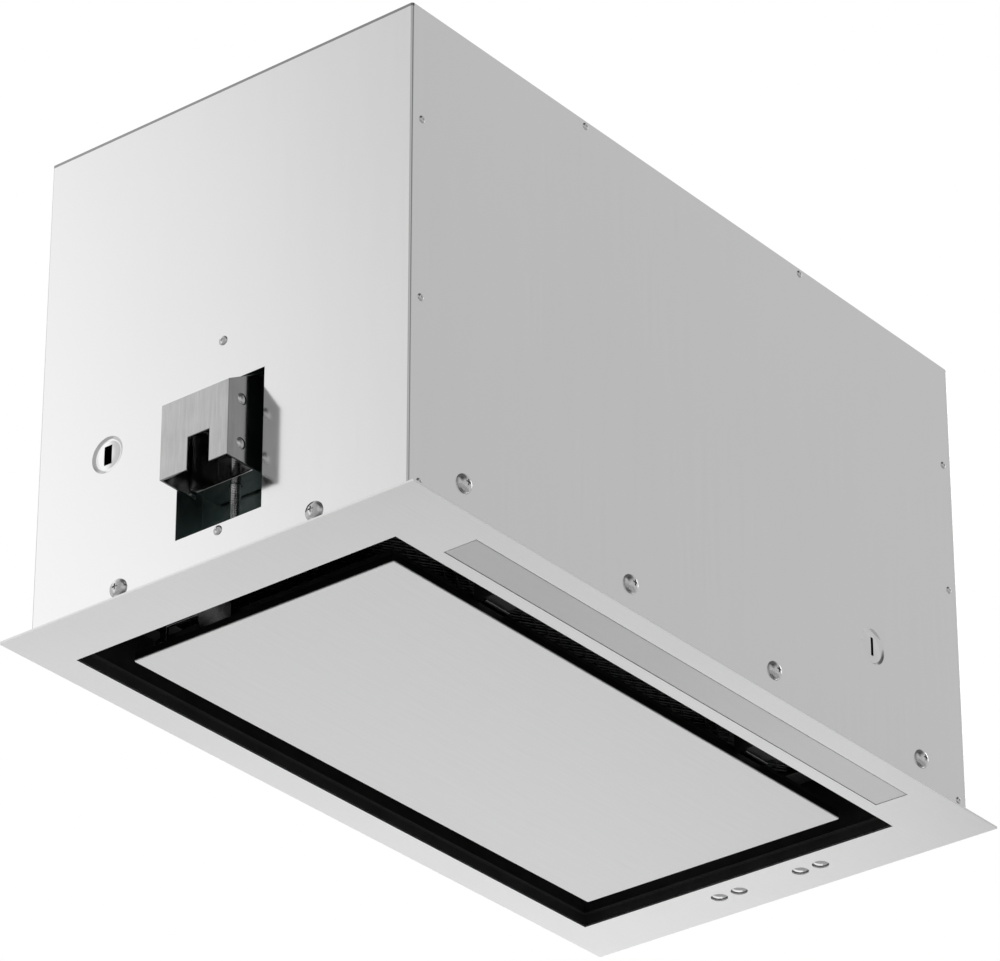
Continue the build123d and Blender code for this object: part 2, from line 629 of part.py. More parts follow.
export_step(light_housing.part, "parts/light_housing.step")

with BuildPart() as light_board:
    block(
        (-LIGHT_BOARD_HALF_LENGTH, LIGHT_BOARD_HALF_LENGTH),
        (LENS_Y - LIGHT_BOARD_HALF_WIDTH, LENS_Y + LIGHT_BOARD_HALF_WIDTH),
        (LIGHT_BOARD_Z, LIGHT_BOARD_Z + BOARD_THICKNESS),
    )
    with Locations((0, LENS_Y, LIGHT_BOARD_Z - DIODE_HEIGHT / 2)):
        with GridLocations(DIODE_PITCH, 1, DIODE_COUNT, 1):
            Box(DIODE_SIZE, DIODE_SIZE, DIODE_HEIGHT)
light_board.part.label = "light_board"
export_step(light_board.part, "parts/light_board.step")

with BuildPart() as light_driver:
    block(DRIVER_X, (BOX_FRONT - SHEET - DRIVER_DEPTH, BOX_FRONT - SHEET), DRIVER_Z)
    fillet(light_driver.edges().filter_by(Axis.Z), DRIVER_CORNER)
light_driver.part.label = "light_driver"
export_step(light_driver.part, "parts/light_driver.step")

# ------------------------------------------------------------------ push buttons and their control

CONTROL_X = (224.0, 246.8)
CONTROL_TOP = 15.0
CONTROL_WALL = 1.2
CONTROL_INNER_X = (CONTROL_X[0] + CONTROL_WALL, CONTROL_X[1] - CONTROL_WALL)
CONTROL_INNER_Y = (-CONTROL_Y + CONTROL_WALL, CONTROL_Y - CONTROL_WALL)
BOARD_MARGIN = 0.2
BUTTON_BOTTOM = 0.4
BUTTON_EDGE = 0.5
SHOULDER_Z = (1.6, 2.8)
SHOULDER_RADIUS = 5.7
STEM_RADIUS = 3.2
STEM_TOP = 8.0
GUIDE_PLATE_Z = (5.0, 6.2)
SWITCH_BOTTOM = STEM_TOP + BUTTON_TRAVEL + 0.4
SWITCH_HEIGHT = 1.5
SWITCH_HALF_SIZE = 3.0
CONTROL_BOARD_Z = SWITCH_BOTTOM + SWITCH_HEIGHT

with BuildPart() as control_housing:
    block(CONTROL_X, (-CONTROL_Y, CONTROL_Y), (FRAME_SHEET, CONTROL_TOP))
    block(CONTROL_INNER_X, CONTROL_INNER_Y, (FRAME_SHEET - PAST, CONTROL_TOP - CONTROL_WALL), Mode.SUBTRACT)
    block(CONTROL_INNER_X, CONTROL_INNER_Y, GUIDE_PLATE_Z)
    for y in BUTTON_Y:
        start = (BUTTON_X, y, GUIDE_PLATE_Z[0] - PAST)
        rod(start, (0, 0, 1), STEM_RADIUS + RUNNING, CONTROL_WALL + 2 * PAST, Mode.SUBTRACT)
control_housing.part.label = "control_housing"
export_step(control_housing.part, "parts/control_housing.step")

with BuildPart() as control_board:
    block(
        (CONTROL_INNER_X[0] + BOARD_MARGIN, CONTROL_INNER_X[1] - BOARD_MARGIN),
        (CONTROL_INNER_Y[0] + BOARD_MARGIN, CONTROL_INNER_Y[1] - BOARD_MARGIN),
        (CONTROL_BOARD_Z, CONTROL_BOARD_Z + BOARD_THICKNESS),
    )
    for y in BUTTON_Y:
        block(
            (BUTTON_X - SWITCH_HALF_SIZE, BUTTON_X + SWITCH_HALF_SIZE),
            (y - SWITCH_HALF_SIZE, y + SWITCH_HALF_SIZE),
            (SWITCH_BOTTOM, CONTROL_BOARD_Z),
        )
control_board.part.label = "control_board"
export_step(control_board.part, "parts/control_board.step")

for y, button_name in zip(BUTTON_Y, BUTTON_NAMES):
    with BuildPart() as button:
        rod((BUTTON_X, y, BUTTON_BOTTOM), (0, 0, 1), BUTTON_RADIUS, SHOULDER_Z[0] - BUTTON_BOTTOM)
        fillet(button.faces().sort_by(Axis.Z)[0].edges(), BUTTON_EDGE)
        rod((BUTTON_X, y, SHOULDER_Z[0]), (0, 0, 1), SHOULDER_RADIUS, SHOULDER_Z[1] - SHOULDER_Z[0])
        rod((BUTTON_X, y, SHOULDER_Z[1]), (0, 0, 1), STEM_RADIUS, STEM_TOP - SHOULDER_Z[1])
    button.part.label = button_name
    export_step(button.part, f"parts/{button_name}.step")

# ------------------------------------------------------------------ clamps

GUIDE_SHEET = 0.8
GUIDE_BACK_X = 223.8
GUIDE_Z = (27.0, 128.0)
GUIDE_Y = (CLAMP_Y - GUIDE_HALF_WIDTH, CLAMP_Y + GUIDE_HALF_WIDTH)
GUIDE_TAB_Y = (CLAMP_Y - 12.0, CLAMP_Y + 12.0)
GUIDE_TAB_Z = (19.0, 146.0)
SCREW_END = 4.0
SCREW_COLLAR_RADIUS = 4.6
SCREW_COLLAR_HEIGHT = 1.7
HEX_RADIUS = 5.5
HEX_HEIGHT = 4.0
CARRIAGE_X = (226.0, 247.6)
CARRIAGE_Z = (56.0, 96.0)
CARRIAGE_WALL = 1.5
CARRIAGE_PLATE_X = CARRIAGE_X[1] - 4.0
CARRIAGE_HOLE_CLEARANCE = 0.4
CARRIAGE_Y = (CLAMP_Y - CLAMP_WIDTH / 2 + CLAMP_SHEET + GAP, CLAMP_Y + CLAMP_WIDTH / 2 - CLAMP_SHEET - GAP)
NUT_HALF_WIDTH = 5.0
NUT_Z = (74.0, 80.0)
WING_INNER_X = 242.2
BRACKET_OUTER_X = HALF_BODY_LENGTH + CLAMP_REACH
BRACKET_SLOPE_X = HALF_BODY_LENGTH - 1.0
BRACKET_SLOPE_RISE = 12.0
BRACKET_Y = (CLAMP_Y - CLAMP_WIDTH / 2, CLAMP_Y + CLAMP_WIDTH / 2)
NOTCH_Y = (CLAMP_Y - 10.5, CLAMP_Y + 4.5)
NOTCH_HEIGHT = 19.5
SCREW_SLOT_HALF_WIDTH = 4.0
SCREW_SLOT_X = CLAMP_SCREW_X + CLAMP_STROKE + SCREW_SLOT_HALF_WIDTH
CLAMP_RIVET_X = 259.0
CLAMP_RIVET_Z = (63.5, 90.0)
CLAMP_RIVET_RADIUS = 3.4
CLAMP_RIVET_HEIGHT = 1.4

for side, side_name in ((-1, "left"), (1, "right")):
    back_x = side * GUIDE_BACK_X
    wall_x = side * INSIDE_X
    screw_x = side * CLAMP_SCREW_X

    with BuildPart() as clamp_guide:
        block((back_x, back_x + side * GUIDE_SHEET), GUIDE_Y, (GUIDE_Z[0], GUIDE_Z[1] + GUIDE_SHEET))
        for y, inward in ((GUIDE_Y[0], 1), (GUIDE_Y[1], -1)):
            block((back_x, wall_x), (y, y + inward * GUIDE_SHEET), (GUIDE_Z[0], GUIDE_Z[1] + GUIDE_SHEET))
        for z, tab_z in zip(GUIDE_Z, GUIDE_TAB_Z):
            block((back_x, wall_x), GUIDE_Y, (z, z + GUIDE_SHEET))
            block((wall_x, wall_x - side * GUIDE_SHEET), GUIDE_TAB_Y, (z, tab_z))
            start = (screw_x, CLAMP_Y, z - PAST)
            rod(start, (0, 0, 1), CLAMP_SCREW_RADIUS + RUNNING, GUIDE_SHEET + 2 * PAST, Mode.SUBTRACT)
    clamp_guide.part.label = f"{side_name}_clamp_guide"
    export_step(clamp_guide.part, f"parts/{side_name}_clamp_guide.step")

    with BuildPart() as clamp_screw:
        head_z = GUIDE_Z[1] + GUIDE_SHEET + GAP
        collar_z = GUIDE_Z[0] - GAP - SCREW_COLLAR_HEIGHT
        end_z = GUIDE_Z[0] - SCREW_END
        rod((screw_x, CLAMP_Y, end_z), (0, 0, 1), CLAMP_SCREW_RADIUS, head_z - end_z)
        rod((screw_x, CLAMP_Y, collar_z), (0, 0, 1), SCREW_COLLAR_RADIUS, SCREW_COLLAR_HEIGHT)
        with BuildSketch(Plane(origin=(screw_x, CLAMP_Y, head_z))):
            RegularPolygon(HEX_RADIUS, 6)
        extrude(amount=HEX_HEIGHT)
    clamp_screw.part.label = f"{side_name}_clamp_screw"
    export_step(clamp_screw.part, f"parts/{side_name}_clamp_screw.step")

    with BuildPart() as clamp_carriage:
        near_x = side * CARRIAGE_X[0]
        block((near_x, near_x + side * CARRIAGE_WALL), CARRIAGE_Y, CARRIAGE_Z)
        for y, inward in ((CARRIAGE_Y[0], 1), (CARRIAGE_Y[1], -1)):
            block((near_x, side * CARRIAGE_X[1]), (y, y + inward * CARRIAGE_WALL), CARRIAGE_Z)
        for z in (CARRIAGE_Z[0], CARRIAGE_Z[1] - CARRIAGE_WALL):
            block((near_x, side * CARRIAGE_PLATE_X), CARRIAGE_Y, (z, z + CARRIAGE_WALL))
        rod(
            (screw_x, CLAMP_Y, CARRIAGE_Z[0] - PAST),
            (0, 0, 1),
            CLAMP_SCREW_RADIUS + CARRIAGE_HOLE_CLEARANCE,
            CARRIAGE_Z[1] - CARRIAGE_Z[0] + 2 * PAST,
            Mode.SUBTRACT,
        )
    clamp_carriage.part.label = f"{side_name}_clamp_carriage"
    export_step(clamp_carriage.part, f"parts/{side_name}_clamp_carriage.step")

    with BuildPart() as clamp_nut:
        block(
            (side * (CARRIAGE_X[0] + CARRIAGE_WALL), screw_x + side * NUT_HALF_WIDTH),
            (CLAMP_Y - NUT_HALF_WIDTH, CLAMP_Y + NUT_HALF_WIDTH),
            NUT_Z,
        )
        rod(
            (screw_x, CLAMP_Y, NUT_Z[0] - PAST),
            (0, 0, 1),
            CLAMP_SCREW_RADIUS + RUNNING,
            NUT_Z[1] - NUT_Z[0] + 2 * PAST,
            Mode.SUBTRACT,
        )
    clamp_nut.part.label = f"{side_name}_clamp_nut"
    export_step(clamp_nut.part, f"parts/{side_name}_clamp_nut.step")

    with BuildPart() as clamp_bracket:
        slope_top = CLAMP_TOP + BRACKET_SLOPE_RISE
        with BuildSketch(Plane(origin=(0, BRACKET_Y[1], 0), x_dir=(1, 0, 0), z_dir=(0, -1, 0))):
            with BuildLine():
                Polyline(
                    (side * BRACKET_OUTER_X, CLAMP_BOTTOM),
                    (side * BRACKET_OUTER_X, CLAMP_TOP),
                    (side * BRACKET_SLOPE_X, slope_top),
                    (side * WING_INNER_X, slope_top),
                    (side * WING_INNER_X, CLAMP_BOTTOM),
                    close=True,
                )
            make_face()
        extrude(amount=CLAMP_WIDTH)
        with BuildSketch(Plane(origin=(0, BRACKET_Y[1] - CLAMP_SHEET, 0), x_dir=(1, 0, 0), z_dir=(0, -1, 0))):
            with BuildLine():
                Polyline(
                    (side * (BRACKET_OUTER_X - CLAMP_SHEET), CLAMP_BOTTOM - PAST),
                    (side * (BRACKET_OUTER_X - CLAMP_SHEET), CLAMP_TOP - CLAMP_SHEET * 0.7),
                    (side * BRACKET_SLOPE_X, slope_top - CLAMP_SHEET),
                    (side * (WING_INNER_X - PAST), slope_top - CLAMP_SHEET),
                    (side * (WING_INNER_X - PAST), CLAMP_BOTTOM - PAST),
                    close=True,
                )
            make_face()
        extrude(amount=CLAMP_WIDTH - 2 * CLAMP_SHEET, mode=Mode.SUBTRACT)
        block(
            (side * (BRACKET_OUTER_X - CLAMP_SHEET - PAST), side * (BRACKET_OUTER_X + PAST)),
            NOTCH_Y,
            (CLAMP_BOTTOM - PAST, CLAMP_BOTTOM + NOTCH_HEIGHT),
            Mode.SUBTRACT,
        )
        block(
            (side * (WING_INNER_X - PAST), side * SCREW_SLOT_X),
            (CLAMP_Y - SCREW_SLOT_HALF_WIDTH, CLAMP_Y + SCREW_SLOT_HALF_WIDTH),
            (CLAMP_TOP, slope_top + PAST),
            Mode.SUBTRACT,
        )
    clamp_bracket.part.label = f"{side_name}_clamp_bracket"
    export_step(clamp_bracket.part, f"parts/{side_name}_clamp_bracket.step")

    with BuildPart() as clamp_rivets:
        for z in CLAMP_RIVET_Z:
            for y, outward in ((BRACKET_Y[0], -1), (BRACKET_Y[1], 1)):
                seat = (side * CLAMP_RIVET_X, y, z)
                button_head(seat, (0, outward, 0), CLAMP_RIVET_RADIUS, CLAMP_RIVET_HEIGHT)
    clamp_rivets.part.label = f"{side_name}_clamp_rivets"
    export_step(clamp_rivets.part, f"parts/{side_name}_clamp_rivets.step")

# ------------------------------------------------------------------ blower

TONGUE_ANGLE = 60.0
TONGUE_RISE = 6.0
SCROLL_STEPS = 6
NECK_FRONT = BLOWER_Y + SCROLL_SMALL_RADIUS * cos(radians(TONGUE_ANGLE))
NECK_REAR = BLOWER_Y + SCROLL_LARGE_RADIUS
INLET_RADIUS = 52.0
RING_OVERLAP = 8.0
RING_WALL = 2.0
RING_DEPTH = 5.0


def scroll_point(angle, inset=0.0):
    """A point of the scroll's spiral wall, in the YZ plane, at an angle from +Y towards +Z."""
    share = (angle - TONGUE_ANGLE) / (360 - TONGUE_ANGLE)
    radius = SCROLL_SMALL_RADIUS + (SCROLL_LARGE_RADIUS - SCROLL_SMALL_RADIUS) * share - inset
    return (BLOWER_Y + radius * cos(radians(angle)), BLOWER_Z + radius * sin(radians(angle)))


def scroll_outline(start_x, inset):
    """The side outline of the scroll and its outlet neck, pulled in by the wall's thickness."""
    angles = [TONGUE_ANGLE + i * (360 - TONGUE_ANGLE) / SCROLL_STEPS for i in range(SCROLL_STEPS + 1)]
    tongue = scroll_point(TONGUE_ANGLE, inset)
    along_tongue = (-sin(radians(TONGUE_ANGLE)), cos(radians(TONGUE_ANGLE)))
    with BuildSketch(Plane.YZ.offset(start_x)) as outline:
        with BuildLine():
            Spline(*[scroll_point(angle, inset) for angle in angles], tangents=[along_tongue, (0, 1)])
            Polyline(
                scroll_point(360, inset),
                (NECK_REAR - inset, SCROLL_TOP),
                (NECK_FRONT + inset, SCROLL_TOP),
                (NECK_FRONT + inset, tongue[1] + TONGUE_RISE),
                tongue,
            )
        make_face()
    return outline.sketch


with BuildPart() as blower_housing:
    inner_half_width = BLOWER_HALF_WIDTH - SCROLL_SHEET
    extrude(scroll_outline(-BLOWER_HALF_WIDTH, 0), amount=2 * BLOWER_HALF_WIDTH)
    extrude(scroll_outline(-inner_half_width, SCROLL_SHEET), amount=2 * inner_half_width, mode=Mode.SUBTRACT)
    start = (-BLOWER_HALF_WIDTH - PAST, BLOWER_Y, BLOWER_Z)
    rod(start, (1, 0, 0), INLET_RADIUS, 2 * (BLOWER_HALF_WIDTH + PAST), Mode.SUBTRACT)
blower_housing.part.label = "blower_housing"
export_step(blower_housing.part, "parts/blower_housing.step")

with BuildPart() as inlet_rings:
    for side in (-1, 1):
        face_centre = (side * BLOWER_HALF_WIDTH, BLOWER_Y, BLOWER_Z)
        with BuildSketch(Plane(origin=face_centre, z_dir=(side, 0, 0))):
            Circle(INLET_RADIUS + RING_OVERLAP)
            Circle(INLET_RADIUS - RING_WALL, mode=Mode.SUBTRACT)
        extrude(amount=RING_WALL)
        with BuildSketch(Plane(origin=face_centre, z_dir=(-side, 0, 0))):
            Circle(INLET_RADIUS)
            Circle(INLET_RADIUS - RING_WALL, mode=Mode.SUBTRACT)
        extrude(amount=RING_DEPTH)
inlet_rings.part.label = "inlet_rings"
export_step(inlet_rings.part, "parts/inlet_rings.step")

SHAFT_RADIUS = 4.0
SHAFT_X = (-12.0, 42.0)
MOTOR_RADIUS = 40.0
MOTOR_X = (10.0, 62.0)
MOTOR_EDGE = 4.0
MOTOR_BOSS_RADIUS = 14.0
MOTOR_BOSS_LENGTH = 8.0
ARM_HUB_RADIUS = 24.0
ARM_WIDTH = 12.0
ARM_SHEET = 2.0
ARM_COUNT = 3

with BuildPart() as blower_motor:
    rod((MOTOR_X[0], BLOWER_Y, BLOWER_Z), (1, 0, 0), MOTOR_RADIUS, MOTOR_X[1] - MOTOR_X[0])
    fillet(blower_motor.edges().filter_by(GeomType.CIRCLE), MOTOR_EDGE)
    rod((MOTOR_X[1], BLOWER_Y, BLOWER_Z), (1, 0, 0), MOTOR_BOSS_RADIUS, MOTOR_BOSS_LENGTH)
    bore_x = (MOTOR_X[0] - PAST, SHAFT_X[1] + PAST)
    start = (bore_x[0], BLOWER_Y, BLOWER_Z)
    rod(start, (1, 0, 0), SHAFT_RADIUS + RUNNING, bore_x[1] - bore_x[0], Mode.SUBTRACT)
blower_motor.part.label = "blower_motor"
export_step(blower_motor.part, "parts/blower_motor.step")

with BuildPart() as motor_bracket:
    arm_length = INLET_RADIUS + RING_OVERLAP - 2
    arm_x = BLOWER_HALF_WIDTH + RING_WALL
    with BuildSketch(Plane(origin=(arm_x, BLOWER_Y, BLOWER_Z), z_dir=(1, 0, 0))):
        Circle(ARM_HUB_RADIUS)
        with PolarLocations(0, ARM_COUNT):
            with Locations((arm_length / 2, 0)):
                Rectangle(arm_length, ARM_WIDTH)
        Circle(MOTOR_BOSS_RADIUS, mode=Mode.SUBTRACT)
    extrude(amount=ARM_SHEET)
motor_bracket.part.label = "motor_bracket"
export_step(motor_bracket.part, "parts/motor_bracket.step")

with BuildPart() as motor_shaft:
    rod((SHAFT_X[0], BLOWER_Y, BLOWER_Z), (1, 0, 0), SHAFT_RADIUS, SHAFT_X[1] - SHAFT_X[0])
motor_shaft.part.label = "motor_shaft"
export_step(motor_shaft.part, "parts/motor_shaft.step")

HUB_RADIUS = 14.0
HUB_X = (-10.0, 6.0)
WEB_X = (-1.0, 1.0)
WEB_RADIUS = WHEEL_RADIUS - 4.0
WHEEL_RING_WIDTH = 8.0
WHEEL_RING_SHEET = 2.0
BLADE_COUNT = 36
BLADE_CHORD = 8.4
BLADE_THICKNESS = 1.0
BLADE_TURN = 28.0

with BuildPart() as impeller:
    wheel = Plane(origin=(0, BLOWER_Y, BLOWER_Z), z_dir=(1, 0, 0))
    for radius, (start, end) in ((WEB_RADIUS, WEB_X), (HUB_RADIUS, HUB_X)):
        with BuildSketch(wheel.offset(start)):
            Circle(radius)
            Circle(SHAFT_RADIUS, mode=Mode.SUBTRACT)
        extrude(amount=end - start)
    for start in (-WHEEL_HALF_WIDTH, WHEEL_HALF_WIDTH - WHEEL_RING_SHEET):
        with BuildSketch(wheel.offset(start)):
            Circle(WHEEL_RADIUS)
            Circle(WHEEL_RADIUS - WHEEL_RING_WIDTH, mode=Mode.SUBTRACT)
        extrude(amount=WHEEL_RING_SHEET)
    blade_half_length = WHEEL_HALF_WIDTH - WHEEL_RING_SHEET / 2
    with BuildSketch(wheel.offset(-blade_half_length)):
        with PolarLocations(WHEEL_RADIUS - WHEEL_RING_WIDTH / 2 - 0.5, BLADE_COUNT):
            Rectangle(BLADE_CHORD, BLADE_THICKNESS, rotation=BLADE_TURN)
    extrude(amount=2 * blade_half_length)
impeller.part.label = "impeller"
export_step(impeller.part, "parts/impeller.step")

FOOT_X = (-54.0, 54.0)
FOOT_HALF_WIDTH = 8.0
FOOT_HALF_LENGTH = 30.0
FOOT_SHEET = 1.5

with BuildPart() as blower_feet:
    scroll_bottom = scroll_point(270)[1]
    for x in FOOT_X:
        foot_x = (x - FOOT_HALF_WIDTH, x + FOOT_HALF_WIDTH)
        foot_y = (BLOWER_Y - FOOT_HALF_LENGTH, BLOWER_Y + FOOT_HALF_LENGTH)
        block(foot_x, foot_y, (DECK_TOP, DECK_TOP + FOOT_SHEET))
        block(foot_x, (BLOWER_Y - FOOT_SHEET, BLOWER_Y + FOOT_SHEET), (DECK_TOP, scroll_bottom - RUNNING))
blower_feet.part.label = "blower_feet"
export_step(blower_feet.part, "parts/blower_feet.step")

# ------------------------------------------------------------------ electronics

ELECTRONICS_X = (112.0, 230.0)
ELECTRONICS_Y = (-(INSIDE_Y - SHEET - 0.2), -80.0)
ELECTRONICS_TOP = 122.0
ELECTRONICS_WALL = 1.0
TERMINAL_X = (184.0, 224.0)
TERMINAL_Y = (-118.0, -98.0)
TERMINAL_HEIGHT = 16.0
TERMINAL_PITCH = 12.0
TERMINAL_HOLE_RADIUS = 3.0
TERMINAL_HOLE_DEPTH = 2.0
CAPACITOR_X = (120.0, 172.0)
CAPACITOR_Y = -104.0
CAPACITOR_RADIUS = 16.0
CAPACITOR_EDGE = 2.0

with BuildPart() as electronics_box:
    block(ELECTRONICS_X, ELECTRONICS_Y, (DECK_TOP, ELECTRONICS_TOP))
    block(
        (ELECTRONICS_X[0] + ELECTRONICS_WALL, ELECTRONICS_X[1] - ELECTRONICS_WALL),
        (ELECTRONICS_Y[0] + ELECTRONICS_WALL, ELECTRONICS_Y[1] + PAST),
        (DECK_TOP + ELECTRONICS_WALL, ELECTRONICS_TOP - ELECTRONICS_WALL),
        Mode.SUBTRACT,
    )
    start = (FRONT_KNOCKOUT[0], ELECTRONICS_Y[0] - PAST, FRONT_KNOCKOUT[1])
    rod(start, (0, 1, 0), KNOCKOUT_RADIUS, ELECTRONICS_WALL + 2 * PAST, Mode.SUBTRACT)
electronics_box.part.label = "electronics_box"
export_step(electronics_box.part, "parts/electronics_box.step")

with BuildPart() as electronics_cover:
    cover_y = (ELECTRONICS_Y[1], ELECTRONICS_Y[1] + ELECTRONICS_WALL)
    block(ELECTRONICS_X, cover_y, (DECK_TOP, ELECTRONICS_TOP))
electronics_cover.part.label = "electronics_cover"
export_step(electronics_cover.part, "parts/electronics_cover.step")

with BuildPart() as terminal_block:
    terminal_bottom = DECK_TOP + ELECTRONICS_WALL
    terminal_top = terminal_bottom + TERMINAL_HEIGHT
    terminal_middle = (sum(TERMINAL_X) / 2, sum(TERMINAL_Y) / 2, terminal_top)
    block(TERMINAL_X, TERMINAL_Y, (terminal_bottom, terminal_top))
    with Locations(terminal_middle):
        with GridLocations(TERMINAL_PITCH, 1, 3, 1):
            Cylinder(TERMINAL_HOLE_RADIUS, 2 * TERMINAL_HOLE_DEPTH, mode=Mode.SUBTRACT)
terminal_block.part.label = "terminal_block"
export_step(terminal_block.part, "parts/terminal_block.step")

with BuildPart() as run_capacitor:
    capacitor_z = DECK_TOP + ELECTRONICS_WALL + CAPACITOR_RADIUS
    start = (CAPACITOR_X[0], CAPACITOR_Y, capacitor_z)
    rod(start, (1, 0, 0), CAPACITOR_RADIUS, CAPACITOR_X[1] - CAPACITOR_X[0])
    fillet(run_capacitor.edges().filter_by(GeomType.CIRCLE), CAPACITOR_EDGE)
run_capacitor.part.label = "run_capacitor"
export_step(run_capacitor.part, "parts/run_capacitor.step")

# ------------------------------------------------------------------ air outlet

COLLAR_FLANGE = 11.5
COLLAR_FLANGE_THICKNESS = 1.2
COLLAR_INNER_RADIUS = COLLAR_RADIUS - COLLAR_WALL
NECK_WIDTH = NECK_REAR - NECK_FRONT
NECK_MIDDLE = (NECK_REAR + NECK_FRONT) / 2
FLAP_RADIUS = COLLAR_INNER_RADIUS - 0.9
FLAP_THICKNESS = 1.0
BARREL_RADIUS = 3.6
BARREL_LENGTH = 29.0
FLAP_ROOT = BARREL_RADIUS + 0.6
FLAP_LUG = FLAP_ROOT + 2.0
FLAP_BARRELS = {"front_damper_flap": (-1, (-60.0, 1.0)), "rear_damper_flap": (1, (-30.0, 31.0))}
STOP_RING_WIDTH = 4.0
STOP_RING_SHEET = 2.0
SHAFT_END_CLEARANCE = 0.05

with BuildPart() as outlet_duct:
    for wall, mode in ((0.0, Mode.ADD), (SCROLL_SHEET, Mode.SUBTRACT)):
        with BuildSketch(Plane.XY.offset(SCROLL_TOP)):
            with Locations((0, NECK_MIDDLE)):
                Rectangle(2 * (BLOWER_HALF_WIDTH - wall), NECK_WIDTH - 2 * wall)
        with BuildSketch(Plane.XY.offset(BODY_TOP - SHEET)):
            with Locations((0, COLLAR_Y)):
                Circle(COLLAR_INNER_RADIUS - wall)
        loft(mode=mode)
outlet_duct.part.label = "outlet_duct"
export_step(outlet_duct.part, "parts/outlet_duct.step")

with BuildPart() as outlet_collar:
    for outer_radius, height in (
        (COLLAR_RADIUS + COLLAR_FLANGE, COLLAR_FLANGE_THICKNESS),
        (COLLAR_RADIUS, COLLAR_TOP - BODY_TOP),
    ):
        with BuildSketch(Plane.XY.offset(BODY_TOP)):
            with Locations((0, COLLAR_Y)):
                Circle(outer_radius)
                Circle(COLLAR_INNER_RADIUS, mode=Mode.SUBTRACT)
        extrude(amount=height)
    with BuildSketch(Plane.XY.offset(DAMPER_Z - FLAP_THICKNESS / 2 - GAP)):
        with Locations((0, COLLAR_Y)):
            Circle(COLLAR_RADIUS - COLLAR_WALL / 2)
            Circle(COLLAR_INNER_RADIUS - STOP_RING_WIDTH, mode=Mode.SUBTRACT)
    extrude(amount=-STOP_RING_SHEET)
    start = (-COLLAR_INNER_RADIUS, COLLAR_Y, DAMPER_Z)
    rod(start, (1, 0, 0), DAMPER_SHAFT_RADIUS + RUNNING, 2 * COLLAR_INNER_RADIUS, Mode.SUBTRACT)
outlet_collar.part.label = "outlet_collar"
export_step(outlet_collar.part, "parts/outlet_collar.step")

with BuildPart() as damper_shaft:
    shaft_half_length = COLLAR_INNER_RADIUS - SHAFT_END_CLEARANCE
    rod((-shaft_half_length, COLLAR_Y, DAMPER_Z), (1, 0, 0), DAMPER_SHAFT_RADIUS, 2 * shaft_half_length)
damper_shaft.part.label = "damper_shaft"
export_step(damper_shaft.part, "parts/damper_shaft.step")

for flap_name, (side, barrel_starts) in FLAP_BARRELS.items():
    with BuildPart() as damper_flap:
        with BuildSketch(Plane.XY.offset(DAMPER_Z - FLAP_THICKNESS / 2)):
            with Locations((0, COLLAR_Y)):
                Circle(FLAP_RADIUS)
                with Locations((0, side * (FLAP_ROOT - FLAP_RADIUS))):
                    Rectangle(2 * (FLAP_RADIUS + PAST), 2 * FLAP_RADIUS, mode=Mode.SUBTRACT)
                for start in barrel_starts:
                    with Locations((start + BARREL_LENGTH / 2, side * FLAP_LUG / 2)):
                        Rectangle(BARREL_LENGTH, FLAP_LUG)
        extrude(amount=FLAP_THICKNESS)
        for start in barrel_starts:
            rod((start, COLLAR_Y, DAMPER_Z), (1, 0, 0), BARREL_RADIUS, BARREL_LENGTH)
        bore_start = (-FLAP_RADIUS, COLLAR_Y, DAMPER_Z)
        rod(bore_start, (1, 0, 0), DAMPER_SHAFT_RADIUS + RUNNING, 2 * FLAP_RADIUS, Mode.SUBTRACT)
    damper_flap.part.label = flap_name
    export_step(damper_flap.part, f"parts/{flap_name}.step")
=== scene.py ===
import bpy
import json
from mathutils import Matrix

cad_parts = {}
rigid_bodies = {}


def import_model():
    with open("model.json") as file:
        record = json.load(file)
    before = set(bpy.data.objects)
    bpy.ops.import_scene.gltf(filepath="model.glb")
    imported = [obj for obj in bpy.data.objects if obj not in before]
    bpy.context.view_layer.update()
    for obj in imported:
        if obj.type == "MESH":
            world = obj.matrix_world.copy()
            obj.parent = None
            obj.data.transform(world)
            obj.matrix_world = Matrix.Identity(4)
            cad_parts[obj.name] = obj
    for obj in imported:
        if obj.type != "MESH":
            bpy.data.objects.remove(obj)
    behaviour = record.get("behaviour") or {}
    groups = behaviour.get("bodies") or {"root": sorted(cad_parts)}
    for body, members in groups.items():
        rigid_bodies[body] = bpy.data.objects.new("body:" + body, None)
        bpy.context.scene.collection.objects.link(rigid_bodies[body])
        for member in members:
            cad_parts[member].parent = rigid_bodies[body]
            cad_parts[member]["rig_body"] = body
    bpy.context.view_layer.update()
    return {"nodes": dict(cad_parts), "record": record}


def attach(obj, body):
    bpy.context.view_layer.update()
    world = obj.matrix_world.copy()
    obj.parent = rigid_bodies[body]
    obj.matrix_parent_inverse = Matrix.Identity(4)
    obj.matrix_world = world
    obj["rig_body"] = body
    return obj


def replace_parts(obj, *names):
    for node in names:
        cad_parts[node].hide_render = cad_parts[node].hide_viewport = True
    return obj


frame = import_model()

import json
from math import cos, pi, radians, sin, sqrt

import bpy
from mathutils import Matrix, Vector

# ------------------------------------------------------------------ camera
# The hood hangs overhead and is seen from below, past the corner between its
# left end and its light side. The picture is 1000 pixels wide.

